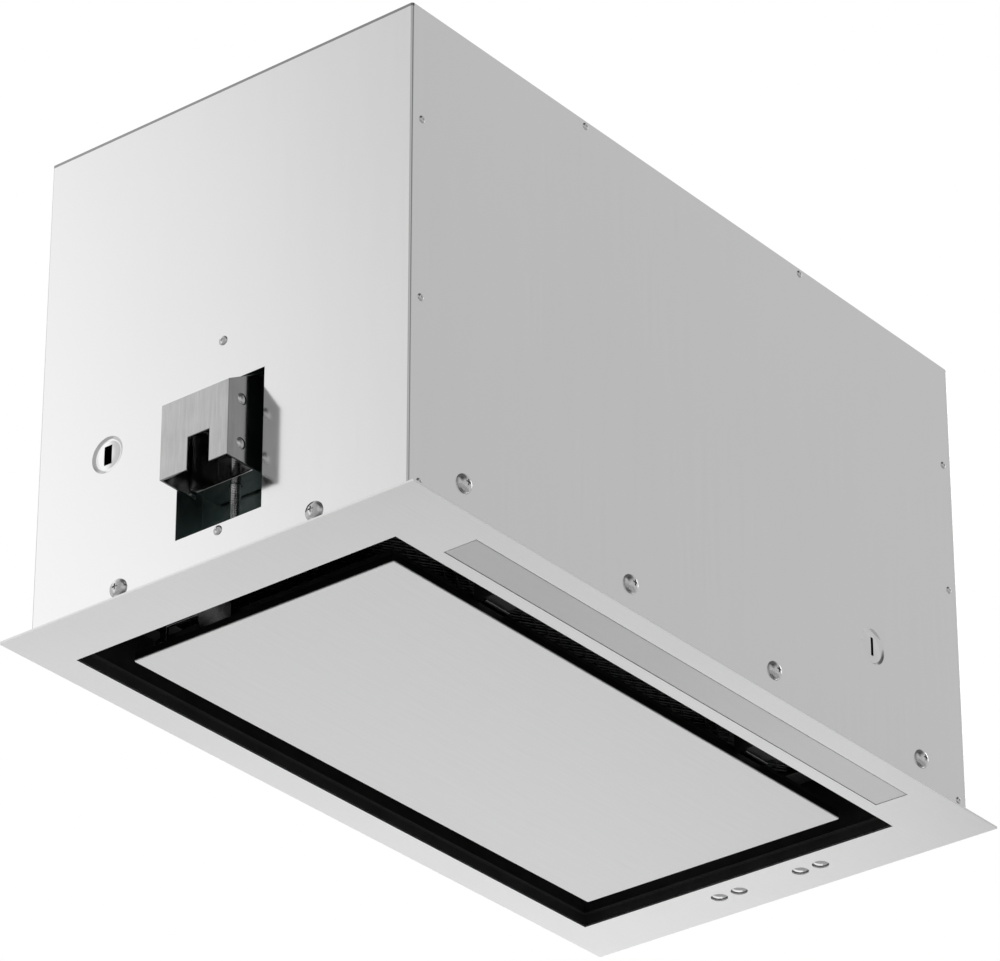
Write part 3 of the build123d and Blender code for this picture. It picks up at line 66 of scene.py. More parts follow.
PICTURE_WIDTH = 1000
FOCAL_PIXELS = 5376.0
SENSOR_WIDTH = 36.0
CAMERA_PLACE = (-2.0687, -1.6487, -1.3105)
LOOKING_ALONG = (0.68156, 0.54661, 0.48652)
scene = bpy.context.scene
camera_data = bpy.data.cameras.new("studio_camera")
camera_data.sensor_width = SENSOR_WIDTH
camera_data.lens = SENSOR_WIDTH * FOCAL_PIXELS / PICTURE_WIDTH
camera = bpy.data.objects.new("studio_camera", camera_data)
camera.location = CAMERA_PLACE
camera.rotation_euler = Vector(LOOKING_ALONG).to_track_quat("-Z", "Y").to_euler()
scene.collection.objects.link(camera)
scene.camera = camera

# ------------------------------------------------------------------ studio
# A pale floor far below the hood, in a white room that is lightest behind the
# hood and darker overhead, to its left and above its light side. Two soft boxes
# stand where the lower faces and the screw heads mirror them.


class Wire:
    """One socket of a material's nodes. Arithmetic adds Math nodes, and node() adds any other node."""

    def __init__(self, socket):
        self.socket = socket

    def node(self, kind, settings=None, inputs=None, output=0):
        """Add a node: its settings and a ramp's stops first, then the values or links of its sockets."""
        tree = self.socket.id_data
        made = tree.nodes.new(kind)
        settings = dict(settings or {})
        stops = settings.pop("stops", None)
        for name, value in settings.items():
            setattr(made, name, value)
        if stops:
            elements = made.color_ramp.elements
            while len(elements) < len(stops):
                elements.new(1.0)
            for element, (place, colour) in zip(elements, stops):
                element.position = place
                element.color = colour
        for name, value in (inputs or {}).items():
            if isinstance(value, Wire):
                tree.links.new(value.socket, made.inputs[name])
            else:
                made.inputs[name].default_value = value
        return Wire(made.outputs[output])

    def math(self, operation, first, second):
        return self.node("ShaderNodeMath", {"operation": operation}, {0: first, 1: second})

    def __add__(self, other):
        return self.math("ADD", self, other)

    def __sub__(self, other):
        return self.math("SUBTRACT", self, other)

    def __rsub__(self, other):
        return self.math("SUBTRACT", other, self)

    def __mul__(self, other):
        return self.math("MULTIPLY", self, other)

    def __gt__(self, other):
        return self.math("GREATER_THAN", self, other)

    def __lt__(self, other):
        return self.math("LESS_THAN", self, other)

    __radd__ = __add__
    __rmul__ = __mul__


scene.view_settings.view_transform = "Standard"
world = bpy.data.worlds.new("white_room")
world.use_nodes = True
scene.world = world
room = world.node_tree
direction = Wire(room.nodes.new("ShaderNodeTexCoord").outputs["Generated"])


def ramp(wire, start, end, low, high):
    """A value that goes smoothly from low to high while the wire goes from start to end."""
    return wire.node("ShaderNodeMapRange", {"interpolation_type": "SMOOTHSTEP"}, {
        "Value": wire, "From Min": start, "From Max": end, "To Min": low, "To Max": high})


def band(way, start, end, low, high):
    """A change of the room's light, by how far a ray's direction goes this way."""
    reach = direction.node(
        "ShaderNodeVectorMath", {"operation": "DOT_PRODUCT"}, {0: direction, 1: way}, output=1)
    return ramp(reach, start, end, low, high)


REARWARD = (0, 1, 0)
RIGHTWARD = (1, 0, 0)
ROOM_LIGHT = 0.61
front_rise = band(way=(0, 1, 0.5), start=-0.275, end=-0.215, low=0.0, high=0.03)
side_rise = band(way=REARWARD, start=-0.2, end=0.4, low=0.0, high=0.055)
rear_rise = band(way=(0, 1, 0.05), start=0.541, end=0.656, low=0.0, high=0.53)
far_rear = band(way=REARWARD, start=0.68, end=0.82, low=1.0, high=0.55)
not_front = band(way=REARWARD, start=-0.48, end=-0.30, low=0.0, high=1.0)
not_rear = band(way=REARWARD, start=0.25, end=0.48, low=1.0, high=0.0)
left_loss = band(way=RIGHTWARD, start=-0.5, end=-0.2, low=0.28, high=0.0)
overhead = band(way=(0, -0.34, 0.94), start=0.72, end=0.93, low=1.0, high=0.2)
above_light_side = band(way=(-0.25, -0.75, 0.61), start=0.90, end=0.97, low=1.0, high=0.45)
glow = (front_rise + ROOM_LIGHT + side_rise + rear_rise) * far_rear
glow = glow * (1 - not_front * not_rear * left_loss) * overhead * above_light_side
seen = Wire(room.nodes.new("ShaderNodeLightPath").outputs["Is Camera Ray"])
room.links.new((glow * (1 - seen) + seen).socket, room.nodes["Background"].inputs["Color"])


def soft_box(name, place, target, width, height, brightness):
    """A large area light that faces a point. Its brightness is what a mirror would show of it."""
    data = bpy.data.lights.new(name, "AREA")
    data.shape = "RECTANGLE"
    data.size = width
    data.size_y = height
    data.energy = brightness * pi * width * height
    lamp = bpy.data.objects.new(name, data)
    lamp.location = place
    lamp.visible_camera = False
    lamp.rotation_euler = (Vector(target) - Vector(place)).to_track_quat("-Z", "Y").to_euler()
    scene.collection.objects.link(lamp)


soft_box("low_box", place=(1.43, 1.83, -0.67), target=(0.05, 0.05, 0.0), width=2.2, height=1.25,
         brightness=0.72)
soft_box("right_box", place=(2.4, 0.1, 1.4), target=(0.0, -0.13, 0.1), width=0.9, height=0.9,
         brightness=2.4)

finishes = {}


def finish(name, **sockets):
    """A new material: its shader with these constant values, and a wire with the object's coordinates."""
    material = bpy.data.materials.new(name)
    finishes[name] = material
    material.use_nodes = True
    tree = material.node_tree
    shader = tree.nodes["Principled BSDF"]
    for socket, value in sockets.items():
        shader.inputs[socket.replace("_", " ")].default_value = value
    return shader, Wire(tree.nodes.new("ShaderNodeTexCoord").outputs["Object"])


def noise(place, per_metre, detail=2.0):
    """Smooth noise of about this many blobs a metre, mostly between 0.3 and 0.7."""
    return place.node("ShaderNodeTexNoise", {}, {"Vector": place, "Scale": per_metre, "Detail": detail})


def feed(shader, name, wire):
    """Lead a wire into one socket of the shader."""
    wire.socket.id_data.links.new(wire.socket, shader.inputs[name])


def tint(shader, wire, dark, light, span=(0.3, 0.7), lowest=None):
    """Let a wire choose the base colour, dark to light over this span of it, and down to lowest at 0."""
    stops = [(span[0], (*dark, 1)), (span[1], (*light, 1))]
    if lowest:
        stops.insert(0, (0.0, (*lowest, 1)))
    feed(shader, "Base Color", wire.node("ShaderNodeValToRGB", {"stops": stops}, {"Fac": wire}))


def grey(tone):
    return (tone, tone, tone)


def added(primitive, **settings):
    """Add a primitive with nothing else selected, and put its place into its mesh."""
    bpy.ops.object.select_all(action="DESELECT")
    primitive(**settings)
    bpy.ops.object.transform_apply(location=True, rotation=True, scale=True)
    return bpy.context.object


FLOOR_DEPTH = 5.0
FLOOR_SIDE = 60.0
floor = added(bpy.ops.mesh.primitive_plane_add, size=FLOOR_SIDE, location=(0, 0, -FLOOR_DEPTH))
floor.name = "floor"
shader, place = finish("floor_paint", Roughness=0.7)
tint(shader, noise(place, per_metre=3.0), dark=grey(0.80), light=grey(0.84))
floor.data.materials.append(finishes["floor_paint"])

# ------------------------------------------------------------------ frame
# The frame that shows below the cabinet is one laser-cut plate of satin steel
# with the suction opening, the slot of the light and four button holes in it.
# Its skirts stand inside the body, and screws hold them.

MM = 0.001
MERGE_DISTANCE = 0.002 * MM
FLAT_WITHIN = radians(0.5)
SHARP_FROM = radians(28.0)
SMOOTH_WITHIN = radians(30.0)
nodes = frame["nodes"]
node_slot = {entry["node"]: entry["material_slot"] for entry in frame["record"]["subparts"]}


def dress(piece, slot):
    """Give a piece one of the finishes made so far; most are named after the record's slots."""
    piece.data.materials.clear()
    piece.data.materials.append(finishes[slot])


def select_only(*pieces):
    bpy.ops.object.select_all(action="DESELECT")
    for piece in pieces:
        piece.select_set(True)
    bpy.context.view_layer.objects.active = pieces[0]


def apply(piece, name, kind, **settings):
    """Add a modifier with these settings and apply it at once."""
    modifier = piece.modifiers.new(name, kind)
    for setting, value in settings.items():
        setattr(modifier, setting, value)
    select_only(piece)
    bpy.ops.object.modifier_apply(modifier=name)


def settle(piece, name, node):
    """Finish a piece: it is smoothed, named, dressed and rides with a node, its place in its mesh."""
    select_only(piece)
    bpy.ops.object.transform_apply(location=True, rotation=True, scale=True)
    bpy.ops.object.shade_smooth_by_angle(angle=SMOOTH_WITHIN)
    apply(piece, "even_shading", "WEIGHTED_NORMAL", keep_sharp=True, weight=50)
    piece.name = name
    piece.data.name = name
    dress(piece, node_slot[node])
    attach(piece, nodes[node]["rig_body"])
    return piece


def round_edges(piece, width, segments=2):
    """Give a piece's sharp edges the small round of a cut or bent sheet."""
    apply(piece, "edge_round", "BEVEL", width=width, segments=segments, limit_method="ANGLE",
          angle_limit=SHARP_FROM, use_clamp_overlap=True)


def merged_copy(node):
    """A copy of a CAD node with its triangles joined into one skin of whole faces."""
    piece = bpy.data.objects.new(node + ".copy", nodes[node].data.copy())
    scene.collection.objects.link(piece)
    select_only(piece)
    bpy.ops.object.mode_set(mode="EDIT")
    bpy.ops.mesh.select_all(action="SELECT")
    bpy.ops.mesh.remove_doubles(threshold=MERGE_DISTANCE)
    bpy.ops.mesh.dissolve_limited(angle_limit=FLAT_WITHIN)
    bpy.ops.object.mode_set(mode="OBJECT")
    return piece


def soften(node, rounding, segments=2):
    """Stand in for a CAD node with the same shape, its sharp edges rounded."""
    piece = merged_copy(node)
    round_edges(piece, rounding, segments)
    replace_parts(settle(piece, node + ".sheet", node), node)
    return piece


def layered(first, second, share=0.5):
    """Two patterns laid over each other, the second with this share."""
    return first * (1 - share) + second * share


def stretched(place, *stretch):
    """Coordinates that run slower where stretch is small, so that a pattern on them is drawn out."""
    return place.node("ShaderNodeMapping", {}, {"Vector": place, "Scale": stretch})


def roughen(shader, wire, least, most):
    """Let a wire choose the roughness, least where it is 0 and most where it is 1."""
    feed(shader, "Roughness", wire * (most - least) + least)


def relief(shader, wire, height):
    """Let a wire raise the surface by up to this many metres, as shading only."""
    bumped = wire.node("ShaderNodeBump", {}, {"Height": wire, "Distance": height, "Strength": 1.0})
    feed(shader, "Normal", bumped)


shader, place = finish("frame_steel", Metallic=1.0)
brushed = noise(stretched(place, 0.03, 1.0, 1.0), per_metre=900.0, detail=3.0)
cloudy = noise(place, per_metre=9.0)
tint(shader, layered(brushed, cloudy), dark=grey(0.77), light=grey(0.82))
roughen(shader, brushed, least=0.29, most=0.39)
relief(shader, brushed, height=0.008 * MM)
soften("trim_frame", rounding=0.22 * MM)

# ------------------------------------------------------------------ suction box and filter rails
# A folded box behind the opening, of sheet steel coated matt black inside and
# out. Two ledges welded in it carry the grease filter.

shader, place = finish("dark_paint")
orange_peel = noise(place, per_metre=1500.0, detail=1.0)
tint(shader, noise(place, per_metre=60.0), dark=grey(0.016), light=grey(0.026))
roughen(shader, orange_peel, least=0.42, most=0.62)
relief(shader, orange_peel, height=0.02 * MM)
soften("suction_box", rounding=0.25 * MM)
soften("filter_rails", rounding=0.3 * MM)

# ------------------------------------------------------------------ hinge brackets and magnet catches
# Two bright bent plates, riveted to the box's ends, carry the panel's hinge pins
# in their eyes. Two black blocks with magnets hold the panel's other side shut.

shader, place = finish("plain_steel", Metallic=1.0)
rolled = noise(stretched(place, 1.0, 1.0, 0.08), per_metre=700.0, detail=3.0)
smudges = noise(place, per_metre=60.0, detail=3.0)
# The plain steel's colour is kept darker than the body's as painted shade, for the brackets and carriages
# seen in the shade of the windows and the gap; the roll marks and smudges are its own.
tint(shader, layered(rolled, smudges), dark=grey(0.40), light=grey(0.50))
roughen(shader, smudges, least=0.10, most=0.20)
relief(shader, rolled, height=0.01 * MM)
soften("hinge_brackets", rounding=0.25 * MM)

shader, place = finish("black_plastic")
grained = noise(place, per_metre=2500.0, detail=1.0)
tint(shader, noise(place, per_metre=90.0), dark=grey(0.018), light=grey(0.030))
roughen(shader, grained, least=0.32, most=0.62)
relief(shader, grained, height=0.015 * MM)
soften("magnet_catches", rounding=0.5 * MM)

# ------------------------------------------------------------------ light
# A long tray behind the frame's slot holds a strip of diodes on a circuit board.
# Its moulded cover is frosted, with shallow ribs along it, and stands in the slot.


def keep(*names):
    """Show these CAD nodes as they are, in the finishes of their slots."""
    for name in names:
        dress(nodes[name], node_slot[name])


def coordinate(place, axis):
    """One coordinate of a vector, X, Y or Z, or the channel of a colour in its place."""
    return place.node("ShaderNodeSeparateXYZ", {}, {"Vector": place}, output="XYZ".index(axis))


shader, place = finish("galvanised_steel", Metallic=1.0)
cells = place.node("ShaderNodeTexVoronoi", {"feature": "F1"}, {"Vector": place, "Scale": 130.0}, output=1)
spangle = coordinate(cells, "X")
cloudy = noise(place, per_metre=15.0)
# The galvanised steel's colour is darkened and tinted green-grey as painted shade, for the parts seen in the
# shade of the end windows; the spangle and clouds are its own.
tint(shader, layered(spangle, cloudy, share=0.6), dark=(0.19, 0.25, 0.24), light=(0.27, 0.33, 0.32))
roughen(shader, spangle, least=0.34, most=0.49)
soften("light_housing", rounding=0.2 * MM)

shader, place = finish("circuit_board")
traces = place.node("ShaderNodeTexBrick", {"offset": 0.5}, {
    "Vector": place, "Scale": 120.0, "Mortar Size": 0.03, "Color1": (1, 1, 1, 1), "Color2": (1, 1, 1, 1),
    "Mortar": (0, 0, 0, 1)}, output=1)
tint(shader, traces, dark=(0.02, 0.12, 0.06), light=(0.04, 0.24, 0.11))
roughen(shader, traces, least=0.3, most=0.4)
keep("light_board", "light_driver")

RIB_PITCH = 7.54 * MM
WAVES_AT_SCALE_ONE = 20 / (2 * pi)
PAINTED_LIGHT_PER_METRE = 1.6
CLOUDINESS = 0.4
shader, place = finish("lens_diffuser", IOR=1.49)
ribs = place.node("ShaderNodeTexWave", {"bands_direction": "Y"}, {
    "Vector": place, "Scale": 1 / RIB_PITCH / WAVES_AT_SCALE_ONE, "Distortion": 0.0})
frost = noise(place, per_metre=1800.0, detail=1.0)
cloudy = noise(place, per_metre=12.0)
# Painted light: the cover's colour grows lighter towards its right end.
painted_light_rightward = coordinate(place, "X") * PAINTED_LIGHT_PER_METRE
tint(shader, layered(frost, cloudy) * CLOUDINESS + painted_light_rightward, dark=grey(0.80), light=grey(0.99),
     span=(0.0, 0.4))
roughen(shader, frost, least=0.30, most=0.50)
relief(shader, layered(ribs, frost, share=0.4), height=0.02 * MM)

# The cover is a little smaller than its slot and lies off its middle, so that
# the gap round it is widest along two sides.
LENS_END_X = 191.75 * MM
LENS_MIDDLE_Y = -117.3 * MM
LENS_GAP = 0.3 * MM
LENS_SHIFT = 0.25 * MM
NEARLY = 0.1 * MM
lens = merged_copy("light_lens")
for vertex in lens.data.vertices:
    if abs(vertex.co.x) > LENS_END_X - NEARLY:
        vertex.co.x += LENS_SHIFT - (LENS_GAP if vertex.co.x > 0 else -LENS_GAP)
        vertex.co.y += LENS_SHIFT - (LENS_GAP if vertex.co.y > LENS_MIDDLE_Y else -LENS_GAP)
round_edges(lens, width=0.55 * MM, segments=3)
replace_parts(settle(lens, "light_lens.cover", "light_lens"), "light_lens")

# ------------------------------------------------------------------ push buttons
# Four metal caps look through the frame, each on a stem in a plastic guide. The
# caps are turned, with a polished dome for the finger.

START_SIZE = 0.1 * MM
WELD_DISTANCE = 0.001 * MM


def turned(profile, steps):
    """A round piece about Z: a line through these points of radius and height in mm, spun a full turn."""
    points = [(radius * MM, 0, rise * MM) for radius, rise in profile]
    piece = added(bpy.ops.mesh.primitive_plane_add, size=START_SIZE, location=points[0])
    bpy.ops.object.mode_set(mode="EDIT")
    bpy.ops.mesh.select_all(action="SELECT")
    bpy.ops.mesh.merge(type="CENTER")
    for near, far in zip(points, points[1:]):
        step = (far[0] - near[0], 0, far[2] - near[2])
        bpy.ops.mesh.extrude_vertices_move(TRANSFORM_OT_translate={"value": step})
    bpy.ops.mesh.select_all(action="SELECT")
    bpy.ops.mesh.spin(steps=steps, angle=2 * pi, center=(0, 0, 0), axis=(0, 0, 1))
    bpy.ops.mesh.select_all(action="SELECT")
    bpy.ops.mesh.remove_doubles(threshold=WELD_DISTANCE)
    bpy.ops.mesh.normals_make_consistent(inside=False)
    bpy.ops.object.mode_set(mode="OBJECT")
    return piece


def facing(piece, spot, outward):
    """Stand a piece that was made about Z on a spot, with its Z axis pointing outward."""
    outward = Vector(outward)
    up = Vector((0, 0, 1)) if outward.z == 0 else Vector((0, 1, 0))
    turn = Matrix((up.cross(outward), up, outward)).transposed()
    piece.matrix_world = Matrix.Translation(spot) @ turn.to_4x4()
    return piece


BUTTON_X = 236.4 * MM
BUTTON_Y = {
    "light_button": -36.2 * MM,
    "low_speed_button": -21.9 * MM,
    "high_speed_button": 21.9 * MM,
    "power_button": 36.2 * MM,
}
CROWN_TOP_Z = 0.1 * MM
CROWN_RADIUS = 11.0
CAP_PROFILE = [
    (radius, sqrt(CROWN_RADIUS ** 2 - radius ** 2) - CROWN_RADIUS)
    for radius in (0.0, 0.6, 1.2, 1.8, 2.4, 3.0, 3.5, 4.0, 4.4, 4.65)
]
CAP_PROFILE += [(4.7, -1.5), (5.7, -1.5), (5.7, -2.7), (3.2, -2.7), (3.2, -7.9), (0.0, -7.9)]
shader, place = finish("button_chrome", Metallic=1.0)
lathed = noise(place, per_metre=900.0)
tint(shader, lathed, dark=grey(0.66), light=grey(0.76))
roughen(shader, lathed, least=0.10, most=0.22)
keep("control_housing", "control_board")
for name, y in BUTTON_Y.items():
    cap = facing(turned(CAP_PROFILE, steps=48), spot=(BUTTON_X, y, CROWN_TOP_Z), outward=(0, 0, -1))
    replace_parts(settle(cap, name + ".cap", name), name)

# ------------------------------------------------------------------ body panels
# Two end walls wrap round the corners, and the long walls and the lid sit
# against their returns. All are bright rolled sheet, riveted at the corners, and
# a thin strip of painted shade darkens the top edges of the end walls.

BODY_EDGE_X = 249.0 * MM
BODY_EDGE_Y = 130.0 * MM
END_FACE_FROM = 247.5 * MM
TOP_EDGE_FROM = 298.0 * MM
TOP_EDGE_FULL = 298.6 * MM
shader, place = finish("body_steel", Metallic=1.0)
rolled = noise(stretched(place, 1.0, 1.0, 0.05), per_metre=260.0, detail=3.0)
wavy = noise(place, per_metre=5.0, detail=1.0)
across = coordinate(place, "X")
at_end = (across > END_FACE_FROM) + (across < -END_FACE_FROM)
# Painted shade: a thin strip along the top edges of the end walls is darkened, down to the lowest colour,
# where the lid meets them.
top_edge_painted_shade = at_end * ramp(coordinate(place, "Z"), TOP_EDGE_FROM, TOP_EDGE_FULL, low=0.0, high=1.0)
tint(shader, layered(rolled, wavy, share=0.6) - top_edge_painted_shade, dark=grey(0.772), light=grey(0.796),
     lowest=grey(0.3))
roughen(shader, rolled, least=0.11, most=0.15)
relief(shader, wavy, height=0.15 * MM)


def cut(piece, cutter):
    """Cut the shape of another piece out of a piece, and remove the cutter."""
    apply(piece, "cut", "BOOLEAN", object=cutter, operation="DIFFERENCE", solver="EXACT")
    bpy.data.objects.remove(cutter)


KNOCKOUT_RADIUS = 11.0 * MM
KNOCKOUTS = {
    "left_end_panel": {"spot": (-BODY_EDGE_X, 79.4 * MM, 97.8 * MM), "outward": (-1, 0, 0)},
    "front_panel": {"spot": (160.4 * MM, -BODY_EDGE_Y, 80.2 * MM), "outward": (0, -1, 0)},
}
HOLE_CUTTER_DEPTH = 4.0 * MM
for wall in ("rear_panel", "top_panel", "left_end_panel", "right_end_panel", "front_panel"):
    sheet = merged_copy(wall)
    if wall in KNOCKOUTS:
        cutter = added(bpy.ops.mesh.primitive_cylinder_add, vertices=72, radius=KNOCKOUT_RADIUS,
                       depth=HOLE_CUTTER_DEPTH)
        cut(sheet, facing(cutter, **KNOCKOUTS[wall]))
    round_edges(sheet, width=0.35 * MM)
    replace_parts(settle(sheet, wall + ".sheet", wall), wall)

# ------------------------------------------------------------------ knock-outs
# Blanks for the supply cable, pressed into the left end and the light side with
# a dished rim that is left to break, and with a slot for a screwdriver.

DISH_PROFILE = [
    (0.0, -0.55), (5.0, -0.60), (7.4, -0.75), (8.4, -0.95), (9.0, -1.0), (9.7, -0.85), (10.6, -0.2),
    (11.0, -0.02), (11.0, -0.8), (9.0, -1.7), (0.0, -1.5),
]
SLOT_HEIGHT = 11.5 * MM
SLOT_CUTTER_DEPTH = 8.0 * MM
for name, wall, slot_width in (
    ("left_knockout", "left_end_panel", 5.5 * MM),
    ("front_knockout", "front_panel", 2.4 * MM),
):
    blank = turned(DISH_PROFILE, steps=64)
    slot_size = (slot_width, SLOT_HEIGHT, SLOT_CUTTER_DEPTH)
    cut(blank, added(bpy.ops.mesh.primitive_cube_add, size=1.0, scale=slot_size))
    settle(facing(blank, **KNOCKOUTS[wall]), name, wall)

# ------------------------------------------------------------------ screws and rivets of the body
# Pan-head screws with a cross recess hold the frame's skirts and the clamp
# guides, and blind rivets with a dimple in the head hold the corners and the lid.

DEGREES_FROM_TOP = (0, 12, 24, 36, 48, 60, 72)
RIM_HEIGHT_SHARE = 0.12
SEAT_SHARE = 0.97
RECESS_ARM_SHARE = 0.26
RECESS_DEPTH_SHARE = 0.8
RECESS_TAPER = 0.72
shader, place = finish("fastener_steel", Metallic=1.0)
plated = noise(place, per_metre=700.0)
tint(shader, plated, dark=grey(0.62), light=grey(0.74))
roughen(shader, plated, least=0.13, most=0.23)


def pan_head(radius, height, recess, shank, length):
    """A domed screw head about Z with a cross recess, standing on its seat with its shank below, in mm."""
    profile = [(radius * sin(radians(angle)), height * cos(radians(angle))) for angle in DEGREES_FROM_TOP]
    profile += [(radius, height * RIM_HEIGHT_SHARE), (radius * SEAT_SHARE, 0.0)]
    profile += [(shank, 0.0), (shank, -length), (0.0, -length)]
    head = turned(profile, steps=36)
    top = height * MM
    arm = recess * RECESS_ARM_SHARE
    for width, breadth in ((recess, arm), (arm, recess)):
        cutter = added(bpy.ops.mesh.primitive_cube_add, size=1.0, location=(0, 0, top),
                       scale=(width * MM, breadth * MM, top * RECESS_DEPTH_SHARE))
        for vertex in cutter.data.vertices:
            if vertex.co.z < top:
                vertex.co.x *= RECESS_TAPER
                vertex.co.y *= RECESS_TAPER
        cut(head, cutter)
    return head


def copies(piece, places):
    """Copy a piece that was made about Z to every place, a spot with its outward direction, as one piece."""
    made = []
    for spot, outward in places:
        copy = piece.copy()
        copy.data = piece.data.copy()
        scene.collection.objects.link(copy)
        made.append(facing(copy, spot, outward))
    bpy.data.objects.remove(piece)
    for copy in made:
        select_only(copy)
        bpy.ops.object.transform_apply(location=True, rotation=True, scale=True)
    select_only(*made)
    bpy.ops.object.join()
    return made[0]


def mm(*sizes):
    """Sizes in millimetres, as Blender's metres."""
    return [size * MM for size in sizes]


FLANGE_SCREW_X = mm(-204.5, -64.5, 64.5, 204.5)
FLANGE_SCREW_Z = 26.5 * MM
END_SCREW_Y = mm(-67.5, 67.5)
END_SCREW_Z = 13.0 * MM
flange_places = []
for side in (-1, 1):
    for x in FLANGE_SCREW_X:
        flange_places.append(((x, side * BODY_EDGE_Y, FLANGE_SCREW_Z), (0, side, 0)))
    for y in END_SCREW_Y:
        flange_places.append(((side * BODY_EDGE_X, y, END_SCREW_Z), (side, 0, 0)))
heads = copies(pan_head(radius=5.6, height=3.3, recess=4.4, shank=2.0, length=1.6), flange_places)
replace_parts(settle(heads, "flange_screws.heads", "flange_screws"), "flange_screws")

CLAMP_Y = -1.5 * MM
GUIDE_SCREW_Z = mm(24.3, 138.7)
guide_places = []
for side in (-1, 1):
    for z in GUIDE_SCREW_Z:
        guide_places.append(((side * BODY_EDGE_X, CLAMP_Y, z), (side, 0, 0)))
heads = copies(pan_head(radius=2.8, height=1.3, recess=2.8, shank=1.2, length=0.7), guide_places)
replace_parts(settle(heads, "guide_screws.heads", "guide_screws"), "guide_screws")

RIVET_PROFILE = [
    (0.0, 0.35), (0.55, 0.36), (0.75, 0.82), (1.1, 0.88), (1.6, 0.70), (2.0, 0.38), (2.2, 0.12),
    (2.2, 0.0), (1.0, 0.0), (1.0, -0.7), (0.0, -0.7),
]
CORNER_RIVET_X = 240.5 * MM
LEFT_RIVETS_Z = mm(12.0, 121.0, 230.0)
RIGHT_RIVETS_Z = mm(14.0, 149.0, 232.0)
LID_RIVET_X = mm(-100.0, 100.0)
LID_RIVET_Z = 296.5 * MM
rivet_places = []
for side in (-1, 1):
    for x, heights in ((-CORNER_RIVET_X, LEFT_RIVETS_Z), (CORNER_RIVET_X, RIGHT_RIVETS_Z)):
        for z in heights:
            rivet_places.append(((x, side * BODY_EDGE_Y, z), (0, side, 0)))
    for x in LID_RIVET_X:
        rivet_places.append(((x, side * BODY_EDGE_Y, LID_RIVET_Z), (0, side, 0)))
rivets = copies(turned(RIVET_PROFILE, steps=24), rivet_places)
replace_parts(settle(rivets, "body_rivets.heads", "body_rivets"), "body_rivets")

# ------------------------------------------------------------------ clamps
# In each end window a carriage runs on a long screw behind a folded guide. The
# bracket round it is bent from thick bright sheet and reaches out over the
# cabinet's board, with two rivets in each wing.

CLAMP_SCREW_X = 236.0 * MM
THREAD_FOOT = 26.0 * MM
THREAD_ROOT = 2.5 * MM
THREAD_DEPTH = 0.5 * MM
THREAD_PITCH = 1.0 * MM
THREAD_FLANK = 0.45 * THREAD_PITCH
THREAD_CREST = 0.1 * THREAD_PITCH
THREAD_TURNS = 101
ROD_PROFILE = [
    (0.0, 23.0), (2.4, 23.0), (2.95, 23.6), (2.95, 25.0), (4.4, 25.0), (4.6, 25.2), (4.6, 26.5), (4.4, 26.7),
    (2.6, 26.7), (2.6, 128.8), (0.0, 128.8),
]
HEXAGON_RADIUS = 5.5 * MM
HEXAGON_HEIGHT = 4.0 * MM
HEXAGON_MIDDLE = 131.1 * MM


def clamp_screw(middle):
    """A threaded rod about Z with a pressed collar below and a hexagon head above, at this place."""
    thread = added(bpy.ops.mesh.primitive_plane_add, size=START_SIZE, location=(THREAD_ROOT, 0, THREAD_FOOT))
    bpy.ops.object.mode_set(mode="EDIT")
    bpy.ops.mesh.select_all(action="SELECT")
    bpy.ops.mesh.merge(type="CENTER")
    for step in ((THREAD_DEPTH, 0, THREAD_FLANK), (0, 0, THREAD_CREST), (-THREAD_DEPTH, 0, THREAD_FLANK)):
        bpy.ops.mesh.extrude_vertices_move(TRANSFORM_OT_translate={"value": step})
    bpy.ops.object.mode_set(mode="OBJECT")
    apply(thread, "thread", "SCREW", screw_offset=THREAD_PITCH, iterations=THREAD_TURNS, steps=12,
          render_steps=12, use_merge_vertices=True, merge_threshold=WELD_DISTANCE, use_normal_calculate=True)
    bpy.ops.object.mode_set(mode="EDIT")
    bpy.ops.mesh.select_all(action="SELECT")
    bpy.ops.mesh.remove_doubles(threshold=WELD_DISTANCE)
    bpy.ops.mesh.fill_holes(sides=0)
    bpy.ops.mesh.select_all(action="SELECT")
    bpy.ops.mesh.normals_make_consistent(inside=False)
    bpy.ops.object.mode_set(mode="OBJECT")
    rod = turned(ROD_PROFILE, steps=24)
    head = added(bpy.ops.mesh.primitive_cylinder_add, vertices=6, radius=HEXAGON_RADIUS,
                 depth=HEXAGON_HEIGHT, location=(0, 0, HEXAGON_MIDDLE))
    round_edges(head, width=0.35 * MM, segments=3)
    select_only(rod, thread, head)
    bpy.ops.object.join()
    rod.location = middle
    return rod


WING_RIVET_PROFILE = [
    (0.0, 1.25), (0.9, 1.20), (1.9, 0.98), (2.8, 0.60), (3.3, 0.20), (3.4, 0.0),
    (1.5, 0.0), (1.5, -1.4), (0.0, -1.4),
]
WING_RIVET_X = 259.0 * MM
WING_RIVET_Z = mm(63.5, 90.0)
FRONT_WING_Y = -25.0 * MM
REAR_WING_Y = 22.0 * MM
for side, name in ((-1, "left"), (1, "right")):
    soften(f"{name}_clamp_guide", rounding=0.2 * MM)
    soften(f"{name}_clamp_carriage", rounding=0.3 * MM)
    soften(f"{name}_clamp_nut", rounding=0.4 * MM)
    soften(f"{name}_clamp_bracket", rounding=0.35 * MM)
    node = f"{name}_clamp_screw"
    rod = clamp_screw(middle=(side * CLAMP_SCREW_X, CLAMP_Y, 0))
    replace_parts(settle(rod, node + ".thread", node), node)
    node = f"{name}_clamp_rivets"
    wing_places = []
    for z in WING_RIVET_Z:
        wing_places.append(((side * WING_RIVET_X, FRONT_WING_Y, z), (0, -1, 0)))
        wing_places.append(((side * WING_RIVET_X, REAR_WING_Y, z), (0, 1, 0)))
    rivets = copies(turned(WING_RIVET_PROFILE, steps=32), wing_places)
    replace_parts(settle(rivets, node + ".heads", node), node)

# ------------------------------------------------------------------ deck, blower and electronics
# A galvanised deck closes the box and carries the twin-inlet blower on two feet,
# with its motor in the drum. The electronics stand beside it in a box of their own.

